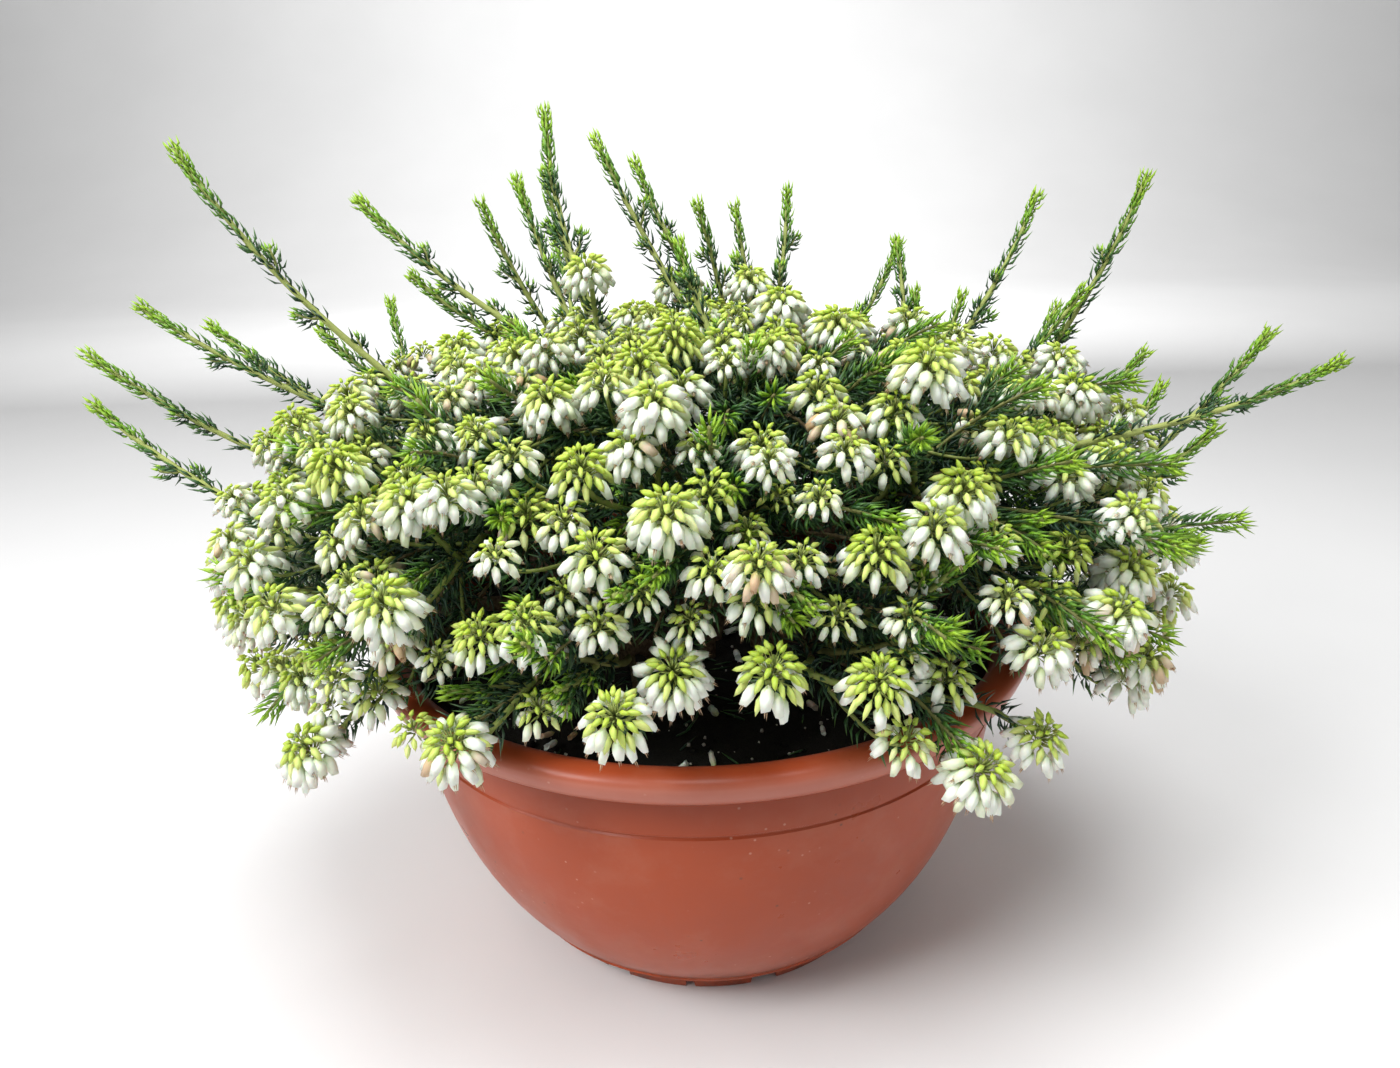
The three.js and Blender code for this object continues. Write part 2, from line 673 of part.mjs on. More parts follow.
function middleOf(points, corners) {
  return corners.reduce((sum, index) => sum.add(points[index]), vec(0, 0, 0)).divideScalar(corners.length);
}

// A pointed bud that stands on a face of the core.
function raiseBud(points, faces, corners, length) {
  const middle = middleOf(points, corners);
  points.push(middle.clone().addScaledVector(middle.clone().normalize(), length));
  const apex = points.length - 1;
  corners.forEach((index, i) => faces.push([index, corners[(i + 1) % 3], apex]));
}

// A floret with a full belly that stands on a face of the core.
function raiseFloret(points, faces, corners, length) {
  const middle = middleOf(points, corners);
  const out = middle.clone().normalize();
  const belly = corners.map((index) => {
    const corner = points[index].clone().sub(middle).multiplyScalar(BELLY_SWELL);
    points.push(corner.add(middle).addScaledVector(out, BELLY_HEIGHT * length));
    return points.length - 1;
  });
  corners.forEach((index, i) => {
    const next = (i + 1) % 3;
    faces.push([index, corners[next], belly[next]], [index, belly[next], belly[i]]);
  });
  points.push(middle.clone().addScaledVector(out, length));
  const apex = points.length - 1;
  belly.forEach((index, i) => faces.push([index, belly[(i + 1) % 3], apex]));
}

// Joins two rings of corners round one axis, whatever their numbers, by going round them by angle.
function bridge(points, faces, from, to, centre, axis) {
  const side = points[to[0]].clone().sub(centre);
  side.addScaledVector(axis, -side.dot(axis)).normalize();
  const other = axis.clone().cross(side);
  const angleOf = (index) => {
    const out = points[index].clone().sub(centre);
    return (Math.atan2(out.dot(other), out.dot(side)) + 2 * Math.PI + 1e-6) % (2 * Math.PI);
  };
  const roundTrip = (loop) => {
    const sorted = loop.map((index) => ({ index, angle: angleOf(index) })).sort((a, b) => a.angle - b.angle);
    return [...sorted, { index: sorted[0].index, angle: sorted[0].angle + 2 * Math.PI }];
  };
  const low = roundTrip(from);
  const high = roundTrip(to);
  let i = 0;
  let j = 0;
  while (i < from.length || j < to.length) {
    const lowIsNext = j === to.length || (i < from.length && low[i + 1].angle < high[j + 1].angle);
    const next = lowIsNext ? low[i + 1].index : high[j + 1].index;
    faces.push([low[i].index, next, high[j].index]);
    i += lowIsNext ? 1 : 0;
    j += lowIsNext ? 0 : 1;
  }
}

function bunchSolid(bunch) {
  return oneBody(joinAll(bunch.heads.map((head, i) => headSolid(head, bunch.stalks[i]))));
}

// Whole object

const FINISHES = {
  bowl: { color: 0xa84f38, roughness: 0.42 },
  soil: { color: 0x2a211c, roughness: 0.95 },
  leaves: { color: 0x4f7d2c, roughness: 0.6 },
  flowers: { color: 0xd9e3a6, roughness: 0.65 },
};

function namedMesh(name, solid, finish) {
  const material = new THREE.MeshStandardMaterial({ ...finish, metalness: 0 });
  const mesh = new THREE.Mesh(geometryFromSolid(solid), material);
  mesh.name = name;
  return mesh;
}

function numbered(name, index) {
  return `${name}_${String(index + 1).padStart(2, '0')}`;
}

function shootPosts(stems) {
  const posts = [];
  for (const stem of stems) {
    for (const curve of stem.shoots) {
      const steps = Math.ceil(curve.getLength() / 4);
      posts.push(...curve.getSpacedPoints(steps));
    }
  }
  return posts;
}

function buildPlant(group) {
  const stems = layStems();
  layShoots(stems);
  const bunches = stems.flatMap((stem) => [layBunch(stem, 1), layBunch(stem, -1)]);
  const heads = layHeads(bunches);
  settleHeads(heads, shootPosts(stems));
  bunches.forEach(layStalks);
  const isFree = freeSpace(bunches);
  for (const stem of stems) {
    const own = bunches.filter((bunch) => bunch.stem === stem);
    const solid = leafyStemSolid(stem, own, isFree);
    group.add(namedMesh(numbered('leafy_stem', stem.index), solid, FINISHES.leaves));
  }
  bunches.forEach((bunch, i) => {
    group.add(namedMesh(numbered('flower_bunch', i), bunchSolid(bunch), FINISHES.flowers));
  });
  return stems;
}

const heath = new THREE.Group();
const stems = buildPlant(heath);
const holes = stems.map((stem) => stemFoot(stem, HOLE_ROOM));
heath.add(namedMesh('bowl', bowlSolid(), FINISHES.bowl));
heath.add(namedMesh('soil', soilSolid(holes), FINISHES.soil));

export default heath;
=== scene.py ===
"""Looks of a white winter heath in a round plastic bowl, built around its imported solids.

The solids give the bowl, the soil, the leafy stems and the bunches of flower heads. This script lays the
same stems, shoots and heads out by the same rule, and shows each of them by a finer piece: stems with bark
and many needle leaves, heads of single bells and buds, a moulded bowl and loose soil. All sizes in the
layout are millimetres; a mesh is turned into metres as it is made.
"""

import logging
import math
from collections.abc import Sequence
from dataclasses import dataclass, field
from enum import Enum, IntEnum

import bpy
import numpy as np
from mathutils import Euler, Matrix, Vector


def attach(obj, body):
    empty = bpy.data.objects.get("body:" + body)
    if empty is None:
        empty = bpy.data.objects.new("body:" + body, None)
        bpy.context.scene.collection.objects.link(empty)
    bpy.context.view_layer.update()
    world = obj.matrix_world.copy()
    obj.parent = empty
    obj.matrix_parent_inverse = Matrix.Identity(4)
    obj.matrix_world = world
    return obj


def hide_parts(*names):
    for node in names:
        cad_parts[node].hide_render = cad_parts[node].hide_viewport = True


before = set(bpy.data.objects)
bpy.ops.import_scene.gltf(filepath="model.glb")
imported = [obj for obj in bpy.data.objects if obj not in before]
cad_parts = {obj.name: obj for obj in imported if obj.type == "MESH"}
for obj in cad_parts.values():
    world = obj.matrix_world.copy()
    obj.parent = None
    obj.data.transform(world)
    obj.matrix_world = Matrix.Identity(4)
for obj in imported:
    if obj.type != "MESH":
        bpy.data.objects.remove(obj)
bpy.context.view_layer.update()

MM = 0.001
GOLDEN_ANGLE = 2.4
TUBE_STEP = 5.0
TUBE_SEAM = (0.31, 0.87, 0.39)
UP = np.array([0.0, 0.0, 1.0])
BODY = "root"

Colour = tuple[float, float, float]
Place = tuple[float, float, float]
Span = tuple[float, float]
Socket = bpy.types.NodeSocket

log = logging.getLogger("heath")


class Slot(str, Enum):
    """Material slots of the record."""

    BOWL = "bowl_plastic"
    SOIL = "peat_soil"
    LEAVES = "heath_leaves"
    FLOWERS = "heath_flowers"


class LeafPart(IntEnum):
    """Order of the finishes on a leafy stem."""

    NEEDLE = 0
    BARK = 1


class FlowerPart(IntEnum):
    """Order of the finishes on a flower bunch."""

    PETAL = 0
    SEPAL = 1
    ANTHER = 2
    STALK = 3


class SoilPart(IntEnum):
    """Order of the finishes on the soil."""

    PEAT = 0
    GRIT = 1
    PETAL = 2
    NEEDLE = 3


# Numbers and small geometry helpers


def draw(item: int, use: int) -> float:
    """Gives a repeatable draw.

    Args:
        item: Which item the draw is for.
        use: Which use of the item it is for.

    Returns:
        A number from 0 to 1.
    """
    value = math.sin(item * 12.9898 + use * 78.233) * 43758.5453
    return value - math.floor(value)


def between(span: Span, share: float) -> float:
    """Finds the number at a share of the way through a span, for one share or an array of them."""
    return span[0] + (span[1] - span[0]) * share


def unit(vector: np.ndarray) -> np.ndarray:
    """Scales one vector, or each row of an array, to length 1.

    Args:
        vector: A vector or an array of vectors.

    Returns:
        The scaled copy.
    """
    length = np.linalg.norm(vector, axis=-1, keepdims=True)
    return vector / np.maximum(length, 1e-9)


def frames_along(directions: np.ndarray, turns: np.ndarray) -> np.ndarray:
    """Makes right-handed frames whose last axis follows given directions.

    Args:
        directions: Unit vectors, one row each.
        turns: Turn of each frame about its own direction, in radians.

    Returns:
        An array of 3 x 3 matrices with the axes as columns.
    """
    steep = np.abs(directions[:, 2]) > 0.95
    reference = np.where(steep[:, None], [1.0, 0.0, 0.0], [0.0, 0.0, 1.0])
    side = unit(np.cross(reference, directions))
    other = np.cross(directions, side)
    cos, sin = np.cos(turns)[:, None], np.sin(turns)[:, None]
    first = cos * side + sin * other
    second = np.cross(directions, first)
    return np.stack([first, second, directions], axis=2)


@dataclass
class Curve:
    """A smooth path drawn as many short steps.

    Attributes:
        points: Places along the path, one row each.
    """

    points: np.ndarray
    distances: np.ndarray = field(init=False)

    def __post_init__(self) -> None:
        """Measures the path."""
        steps = np.linalg.norm(np.diff(self.points, axis=0), axis=1)
        self.distances = np.concatenate([[0.0], np.cumsum(steps)])

    @property
    def length(self) -> float:
        """Length of the path.

        Returns:
            The length in millimetres.
        """
        return float(self.distances[-1])

    def at(self, distances: np.ndarray) -> np.ndarray:
        """Finds places by their distance from the start.

        Args:
            distances: Distances along the path.

        Returns:
            One place for each distance.
        """
        columns = [np.interp(distances, self.distances, self.points[:, k]) for k in range(3)]
        return np.stack(columns, axis=1)

    def headings(self, distances: np.ndarray) -> np.ndarray:
        """Finds the path's direction by distance from the start.

        Args:
            distances: Distances along the path.

        Returns:
            One unit vector for each distance.
        """
        reach = 0.6
        ahead = self.at(np.minimum(distances + reach, self.length))
        behind = self.at(np.maximum(distances - reach, 0.0))
        return unit(ahead - behind)

    @classmethod
    def bezier(cls, controls: Sequence[np.ndarray], steps: int = 200, last: float = 1.0) -> "Curve":
        """Draws a Bezier curve.

        Args:
            controls: Three or four control points.
            steps: How many short steps to draw.
            last: Where on the curve the path ends, from 0 to 1.

        Returns:
            The drawn path.
        """
        share = np.linspace(0.0, last, steps + 1)[:, None]
        level = [np.broadcast_to(np.asarray(c, float), (steps + 1, 3)) for c in controls]
        while len(level) > 1:
            level = [a + (b - a) * share for a, b in zip(level, level[1:])]
        return cls(np.array(level[0]))


# Shapes and meshes


def ring_faces(rows: int, sides: int) -> np.ndarray:
    """Joins rings of corners into a closed skin with a fan at either end.

    The corners are counted ring by ring. The middles of the first end and of the last one come after them.

    Args:
        rows: How many rings there are.
        sides: How many corners each ring has.

    Returns:
        The triangles.
    """
    i = np.arange(sides)
    j = (i + 1) % sides
    starts = np.arange(rows - 1)[:, None] * sides
    a, b = (starts + i).ravel(), (starts + j).ravel()
    top = (rows - 1) * sides
    first, last = np.full(sides, rows * sides), np.full(sides, rows * sides + 1)
    return np.vstack([
        np.stack([a, b, b + sides], 1),
        np.stack([a, b + sides, a + sides], 1),
        np.stack([first, j, i], 1),
        np.stack([last, top + i, top + j], 1),
    ])


@dataclass(frozen=True)
class Shape:
    """A small closed shape that is stamped many times.

    Attributes:
        points: Its corners, one row each, with its root at the origin and its length along the last axis.
        faces: Its triangles.
        along: How far each corner lies from the root to the tip, from 0 to 1.
    """

    points: np.ndarray
    faces: np.ndarray
    along: np.ndarray

    @classmethod
    def turned(cls, profile: Sequence[Span], sides: int, lobes: float = 0.0) -> "Shape":
        """Turns a profile round the last axis. Both ends are closed with a fan.

        Args:
            profile: Pairs of radius and height from root to tip. A height may step back at a mouth.
            sides: How many sides the shape has.
            lobes: Height by which four lobes stand out on the highest ring.

        Returns:
            The shape.
        """
        angles = np.arange(sides) * 2 * math.pi / sides
        highest = max(height for _, height in profile)
        rings = []
        for radius, height in profile:
            wave = lobes * np.cos(4 * angles) if height == highest else np.zeros(sides)
            rings.append(np.stack([radius * np.cos(angles), radius * np.sin(angles), height + wave], axis=1))
        ends = np.array([[0.0, 0.0, profile[0][1]], [0.0, 0.0, profile[-1][1]]])
        points = np.vstack([*rings, ends])
        along = np.clip(points[:, 2] / highest, 0.0, 1.0)
        return cls(points, ring_faces(len(profile), sides), along)

    @classmethod
    def joined(cls, shapes: Sequence["Shape"]) -> "Shape":
        """Puts several shapes into one.

        Args:
            shapes: The shapes.

        Returns:
            One shape with all their corners and faces.
        """
        starts = np.cumsum([0] + [len(s.points) for s in shapes[:-1]])
        faces = np.vstack([s.faces + start for s, start in zip(shapes, starts)])
        return cls(np.vstack([s.points for s in shapes]), faces, np.concatenate([s.along for s in shapes]))


def double_cone(widest: float, radius: float) -> Shape:
    """Makes a thin three-sided shape with a point at either end.

    Args:
        widest: Height at which it is widest.
        radius: Its radius there.

    Returns:
        The shape.
    """
    angles = np.arange(3) * 2 * math.pi / 3
    ring = np.stack([radius * np.cos(angles), radius * np.sin(angles), np.full(3, widest)], axis=1)
    points = np.vstack([ring, [[0, 0, 0], [0, 0, 1]]])
    faces = np.array([f for i in range(3) for f in ((3, (i + 1) % 3, i), (4, i, (i + 1) % 3))])
    return Shape(points, faces, points[:, 2].copy())


class MeshParts:
    """Collects stamped shapes and turns them into one mesh object."""

    def __init__(self) -> None:
        """Starts empty."""
        self.points: list[np.ndarray] = []
        self.faces: list[np.ndarray] = []
        self.slots: list[np.ndarray] = []
        self.tints: list[np.ndarray] = []
        self.along: list[np.ndarray] = []
        self.count = 0

    def add(
        self,
        points: np.ndarray,
        faces: np.ndarray,
        slot: int,
        tint: np.ndarray,
        along: np.ndarray,
    ) -> None:
        """Adds triangles.

        Args:
            points: Corners, one row each.
            faces: Triangles.
            slot: Which of the piece's finishes they take.
            tint: A value for each corner that its finish reads, such as age.
            along: How far each corner lies from root to tip.
        """
        self.points.append(points)
        self.faces.append(faces + self.count)
        self.slots.append(np.full(len(faces), slot))
        self.tints.append(tint)
        self.along.append(along)
        self.count += len(points)

    def skin(self, points: np.ndarray, faces: np.ndarray) -> None:
        """Adds a closed skin in the piece's first finish, without tints.

        Args:
            points: Corners, one row each.
            faces: Triangles.
        """
        self.add(points, faces, 0, np.zeros(len(points)), np.zeros(len(points)))

    def stamp(
        self,
        shape: Shape,
        places: np.ndarray,
        frames: np.ndarray,
        sizes: np.ndarray,
        slot: int,
        tints: np.ndarray,
    ) -> None:
        """Adds many copies of a shape.

        Args:
            shape: The shape.
            places: Where the roots go, one row each.
            frames: The copies' axes as columns.
            sizes: Scale of each copy along its three axes.
            slot: Which of the piece's finishes they take.
            tints: One tint for each copy.
        """
        if not len(places):
            return
        scaled = shape.points[None] * sizes[:, None, :]
        points = np.einsum("nij,nvj->nvi", frames, scaled) + places[:, None, :]
        number, corners = len(places), len(shape.points)
        faces = shape.faces[None] + (np.arange(number) * corners)[:, None, None]
        self.add(
            points.reshape(-1, 3),
            faces.reshape(-1, 3),
            slot,
            np.repeat(tints, corners),
            np.tile(shape.along, number),
        )

    def tube(self, curve: Curve, radii: Span, sides: int, slot: int, tint: float) -> None:
        """Adds a round stem along a path.

        Args:
            curve: The path.
            radii: Its radius at its foot and at its tip.
            sides: How many sides the stem has.
            slot: Which of the piece's finishes it takes.
            tint: Its tint.
        """
        steps = max(3, int(curve.length / TUBE_STEP))
        share = np.linspace(0.0, 1.0, steps + 1)
        places, headings = curve.at(share * curve.length), curve.headings(share * curve.length)
        side = unit(np.cross(headings[0], TUBE_SEAM))
        rings = []
        angles = np.arange(sides) * 2 * math.pi / sides
        for place, heading, radius in zip(places, headings, between(radii, share)):
            side = unit(side - heading * float(side @ heading))
            other = np.cross(heading, side)
            rings.append(place + radius * (np.cos(angles)[:, None] * side + np.sin(angles)[:, None] * other))
        points = np.vstack([*rings, places[:1], places[-1:]])
        along = np.concatenate([np.repeat(share, sides), [0.0, 1.0]])
        self.add(points, ring_faces(steps + 1, sides), slot, np.full(len(points), tint), along)

    def build(self, name: str, finishes: Sequence[bpy.types.Material]) -> bpy.types.Object:
        """Makes the mesh object, in metres.

        Args:
            name: The object's name.
            finishes: Its materials, in slot order.

        Returns:
            The object, linked to the scene.
        """
        points = np.vstack(self.points) * MM
        faces = np.vstack(self.faces).astype(np.int32)
        mesh = bpy.data.meshes.new(name)
        mesh.vertices.add(len(points))
        mesh.vertices.foreach_set("co", points.astype(np.float32).ravel())
        mesh.loops.add(3 * len(faces))
        mesh.loops.foreach_set("vertex_index", faces.ravel())
        mesh.polygons.add(len(faces))
        mesh.polygons.foreach_set("loop_start", np.arange(0, 3 * len(faces), 3, dtype=np.int32))
        mesh.polygons.foreach_set("material_index", np.concatenate(self.slots).astype(np.int32))
        mesh.polygons.foreach_set("use_smooth", np.ones(len(faces), bool))
        for label, values in (("tint", self.tints), ("along", self.along)):
            layer = mesh.attributes.new(label, "FLOAT", "POINT")
            layer.data.foreach_set("value", np.concatenate(values).astype(np.float32))
        mesh.update(calc_edges=True)
        for finish in finishes:
            mesh.materials.append(finish)
        made = bpy.data.objects.new(name, mesh)
        bpy.context.scene.collection.objects.link(made)
        return made


# Layout, the same as in the solids


@dataclass(frozen=True)
class BowlSizes:
    """Sizes of the bowl and the soil in it."""

    rim_radius: float = 115.0
    rim_height: float = 115.5
    lip_height: float = 112.0
    lip_depth: float = 4.0
    lip_middle: float = 108.0
    lip_half: float = 7.5
    wall_inside: float = 97.0
    wall_outside: float = 116.0
    curve_height: float = 103.0
    curve_foot: float = 56.0
    curve_rise: float = 48.0
    curve_power: float = 1 / 1.6
    wall_thickness: float = 2.6
    foot_inner: float = 59.0
    foot_outer: float = 66.5
    foot_height: float = 4.0
    floor_top: float = 8.0
    floor_edge: float = 64.0
    groove_height: float = 89.0
    groove_step: float = 0.8
    rib_heights: Span = (8.5, 12.0)
    rib_step: float = 0.9
    notch_height: float = 2.6
    notches: tuple[Span, ...] = (
        (-97, 3), (-75, 9), (-25, 9), (20, 9), (65, 9), (110, 9), (155, 9), (-160, 9), (-120, 9),
    )
    soil_top: float = 104.5

    def wall_radius(self, height: float) -> float:
        """Finds the outside radius of the wall.

        Args:
            height: Height above the base.

        Returns:
            The radius there.
        """
        depth = (self.curve_height - height) / self.curve_height
        return self.curve_foot + self.curve_rise * (1 - depth**2) ** self.curve_power


@dataclass(frozen=True)
class StemRow:
    """One ring of woody stems."""

    lean: float
    count: int
    first_turn: float
    bunch_turn: float
    bunch_lean: float
    soil_reach: float
    shoot_lean: float


@dataclass
class Stem:
    """One woody stem with the shoots that leave it."""

    index: int
    row: StemRow
    turn: float
    path: np.ndarray
    drawn: Curve
    end: np.ndarray
    forks: int = 0
    shoots: list[Curve] = field(default_factory=list)
    long_shoots: int = 0
    fillers: list[tuple[Curve, "ShootKind"]] = field(default_factory=list)


@dataclass
class Head:
    """One nodding flower head."""

    at: np.ndarray
    axis: np.ndarray
    size: float
    turn: float
    seed: int
    florets: int


@dataclass
class Bunch:
    """Two or three heads on one branching stalk."""

    stem: Stem
    middle: np.ndarray
    fork: np.ndarray
    root: np.ndarray
    heading: np.ndarray
    heads: list[Head] = field(default_factory=list)
    extra: list[Head] = field(default_factory=list)
    stalks: list[Curve] = field(default_factory=list)


@dataclass(frozen=True)
class PlantSizes:
    """Sizes that steer the plant's layout."""

    dome_side: float = 158.0
    dome_front: float = 116.0
    dome_back: float = 114.0
    dome_level: float = 128.0
    dome_rise: float = 86.0
    squareness: float = 0.83
    heart_depth: float = 40.0
    rows: tuple[StemRow, ...] = (
        StemRow(20, 4, 40, 24, 7, 9, 12),
        StemRow(56, 7, -90, 12.5, 9, 27, -17),
        StemRow(92, 8, -67, 11.5, 7, 46, -14),
    )
    front_squeeze: float = 0.86
    stem_share: float = 0.96
    bend_share: float = 0.3
    bend_rise: float = 36.1
    fork_at: float = 0.62
    turn_sway: float = 8.0
    reaches: Span = (0.9, 1.1)
    stem_steps: int = 3
    drawn_steps: int = 24
    fork_places: int = 5
    fork_spacing: float = 0.28
    foot_rise: float = 5.0
    hole_depth: float = 12.0
    stem_radius: float = 3.0
    stem_end_radius: float = 2.4
    long_tips: tuple[Place, ...] = (
        (-165, 12, 274), (-190, 18, 224), (-178, 40, 214), (-210, 14, 209), (-198, -8, 196),
        (-114, 30, 256), (-100, 34, 230), (-131, 22, 214), (-76, 50, 253), (-62, 48, 261),
        (-47, 26, 282), (-54, 66, 263), (-33, 50, 274), (-20, 66, 266), (3, 50, 251),
        (18, 80, 249), (38, 72, 254), (-4, 8, 240), (78, 60, 235), (84, 50, 217),
        (98, 36, 217), (127, 50, 250), (158, 30, 256), (140, 30, 218), (165, 30, 195),
        (163, 10, 187), (199, 12, 204), (213, -8, 197), (172, -12, 176), (56, -78, 195),
        (97, -60, 190), (66, -100, 168), (92, -82, 172), (27, -115, 163), (-38, -106, 138),
        (-70, -92, 131), (-21, -113, 167), (-130, 104, 214), (-60, 124, 236),
        (20, 132, 226), (92, 122, 230), (150, 82, 206),
    )
    short_rise: float = 1.07
    lean_sway: float = 6.0
    long_bow: float = 0.1
    short_bow: float = 0.05
    crowding: float = 14.0
    full_stem: int = 4
    leave_phase: float = 4.15
    leave_along: float = 12.0
    leave_aside: float = 12.5
    bunch_root_at: float = 0.45
    head_spread: float = 14.5
    full_bunch_every: int = 8
    head_sizes: Span = (0.88, 1.10)
    head_lift: float = 0.9
    least_lift: float = 0.1
    lift_height: float = 45.0
    head_reach: float = 12.4
    head_gap: float = 0.8
    shoot_room: float = 3.9
    rim_room: float = 8.6
    lowest_head: float = 112.0
    front_gap_turn: float = -89.0
    front_gap_width: float = 21.0
    front_lowest_head: float = 141.0
    settle_passes: int = 80
    post_spacing: float = 4.0
    stalk_seat: float = 5.0
    stalk_start: float = 3.0
    stalk_bend: float = 12.0
    stalk_rim_room: float = 6.0
    stalk_split: float = 0.3
    main_florets: int = 45
    side_florets: int = 32


class PlantLayout:
    """Places of all stems, shoots and flower heads."""

    def __init__(self, sizes: PlantSizes, bowl: BowlSizes) -> None:
        """Lays the whole plant out.

        Args:
            sizes: The plant's sizes.
            bowl: The bowl it stands in.
        """
        self.sizes = sizes
        self.bowl = bowl
        self.stems = self._lay_stems()
        self._lay_shoots()
        self.bunches = [self._lay_bunch(stem, side) for stem in self.stems for side in (1, -1)]
        self._lay_heads()
        self._settle_heads()
        self._lay_stalks()

    def dome_point(self, turn: float, lean: float, share: float = 1.0) -> np.ndarray:
        """Finds a place on the dome of foliage.

        Args:
            turn: Direction round the bowl, in degrees.
            lean: Angle down from straight up, in degrees.
            share: 1 on the dome itself, less inside it.

        Returns:
            The place.
        """
        s = self.sizes
        across, down = math.radians(turn), math.radians(lean)
        depth = s.dome_front if math.sin(across) < 0 else s.dome_back
        reach = 1 / math.hypot(math.cos(across) / s.dome_side, math.sin(across) / depth)
        out = share * reach * math.sin(down) ** s.squareness
        tilt = math.copysign(1.0, math.cos(down)) * abs(math.cos(down)) ** s.squareness
        height = s.dome_level + share * s.dome_rise * tilt
        return np.array([out * math.cos(across), out * math.sin(across), height])

    def outward(self, at: np.ndarray) -> np.ndarray:
        """Finds the direction away from the dome's heart.

        Args:
            at: A place.

        Returns:
            A unit vector.
        """
        return unit(at - UP * (self.sizes.dome_level - self.sizes.heart_depth))

    def _lay_stems(self) -> list[Stem]:
        """Places the woody stems.

        Returns:
            The stems in order.
        """
        s = self.sizes
        stems: list[Stem] = []
        for row in s.rows:
            for i in range(row.count):
                index = len(stems)
                turn = row.first_turn + i * 360 / row.count + s.turn_sway * (draw(index, 2) - 0.5)
                across = math.radians(turn)
                squeeze = s.front_squeeze if math.sin(across) < 0 else 1.0
                reach = row.soil_reach * between(s.reaches, draw(index, 1)) * squeeze
                root = np.array([reach * math.cos(across), reach * math.sin(across), self.bowl.soil_top])
                start = root + UP * s.foot_rise
                end = self.dome_point(turn, row.lean, s.stem_share)
                control = start + (end - start) * s.bend_share
                control[2] = 0.5 * (max(start[2], end[2]) + s.dome_level + s.bend_rise)
                controls = (start, control, end)
                path = Curve.bezier(controls, s.stem_steps, s.fork_at).points
                smooth = Curve.bezier(controls, s.drawn_steps, s.fork_at).points
                drawn = Curve(np.vstack([root - UP * s.hole_depth, smooth]))
                stems.append(Stem(index, row, turn, path, drawn, end))
        return stems

    def _next_fork(self, stem: Stem) -> np.ndarray:
        """Finds where the stem's next side branch leaves it.

        Args:
            stem: The stem.

        Returns:
            The place.
        """
        s = self.sizes
        top = s.stem_steps - 1e-3 - s.fork_spacing * (stem.forks % s.fork_places)
        stem.forks += 1
        low = int(top)
        return stem.path[low] + (stem.path[low + 1] - stem.path[low]) * (top - low)

    def _shoot(self, stem: Stem, tip: np.ndarray, bow: float) -> Curve:
        """Draws a shoot that leaves its stem sideways and bends to its tip.

        Args:
            stem: The stem.
            tip: Where the shoot ends.
            bow: How far it bows outward, as a share of its length.

        Returns:
            The shoot's path.
        """
        s = self.sizes
        angle = s.leave_phase + GOLDEN_ANGLE * stem.forks
        fork = self._next_fork(stem)
        length = float(np.linalg.norm(tip - fork))
        axis = unit(stem.path[s.stem_steps] - stem.path[s.stem_steps - 1])
        across = unit(np.cross(axis, UP))
        over = np.cross(axis, across)
        leave = fork + (tip - fork) * (s.leave_along / length)
        leave = leave + across * (s.leave_aside * math.cos(angle)) + over * (s.leave_aside * math.sin(angle))
        bend = 0.5 * (fork + tip) + unit(tip * [1, 1, 0]) * (bow * length) - UP * (0.5 * bow * length)
        return Curve.bezier((fork, leave, bend, tip))

    def _lay_shoots(self) -> None:
        """Gives each stem its long and short leafy shoots."""
        s = self.sizes
        for place in s.long_tips:
            tip = np.array(place, float)
            costs = [np.linalg.norm(stem.end - tip) + s.crowding * len(stem.shoots) for stem in self.stems]
            stem = self.stems[int(np.argmin(costs))]
            stem.shoots.append(self._shoot(stem, tip, s.long_bow))
            stem.long_shoots += 1
        for stem in self.stems:
            if len(stem.shoots) >= s.full_stem:
                continue
            sway = 0.5 * stem.row.bunch_turn * (draw(stem.index, 10) - 0.5)
            lean = stem.row.lean + stem.row.shoot_lean + s.lean_sway * (draw(stem.index, 20) - 0.5)
            tip = self.dome_point(stem.turn + sway, lean, s.short_rise)
            stem.shoots.append(self._shoot(stem, tip, s.short_bow))

    def _lay_bunch(self, stem: Stem, side: int) -> Bunch:
        """Places one bunch of heads beside a stem's end.

        Args:
            stem: The stem that carries it.
            side: 1 or -1.

        Returns:
            The bunch, without its heads.
        """
        row = stem.row
        middle = self.dome_point(stem.turn + side * row.bunch_turn, row.lean + side * row.bunch_lean)
        fork = self._next_fork(stem)
        root = fork + (middle - fork) * self.sizes.bunch_root_at
        return Bunch(stem, middle, fork, root, unit(middle - fork))

    def _lay_heads(self) -> None:
        """Places each bunch's heads round its middle."""
        s = self.sizes
        for b, bunch in enumerate(self.bunches):
            count = 3 if b % s.full_bunch_every == 1 else 2
            outward = self.outward(bunch.middle)
            along = unit(np.cross(UP, outward))
            upward = np.cross(outward, along)
            for i in range(count):
                angle = 2 * math.pi * (draw(b, 4) + i / count)
                at = bunch.middle + s.head_spread * (along * math.cos(angle) + upward * math.sin(angle))
                rise = (at[2] - self.bowl.rim_height) / s.lift_height
                axis = unit(outward + UP * s.head_lift * min(max(rise, s.least_lift), 1.0))
                size = between(s.head_sizes, draw(b, 30 + i))
                turn = 2 * math.pi * draw(b, 40 + i)
                bunch.heads.append(Head(at, axis, size, turn, 10 * b + i, s.main_florets))

    def lowest_place(self, at: np.ndarray) -> float:
        """Finds how low a head may hang.

        Args:
            at: The head's place.

        Returns:
            The lowest height of its middle.
        """
        s = self.sizes
        turn = math.degrees(math.atan2(at[1], at[0]))
        near_gap = abs(turn - s.front_gap_turn) < s.front_gap_width
        return s.front_lowest_head if near_gap else s.lowest_head

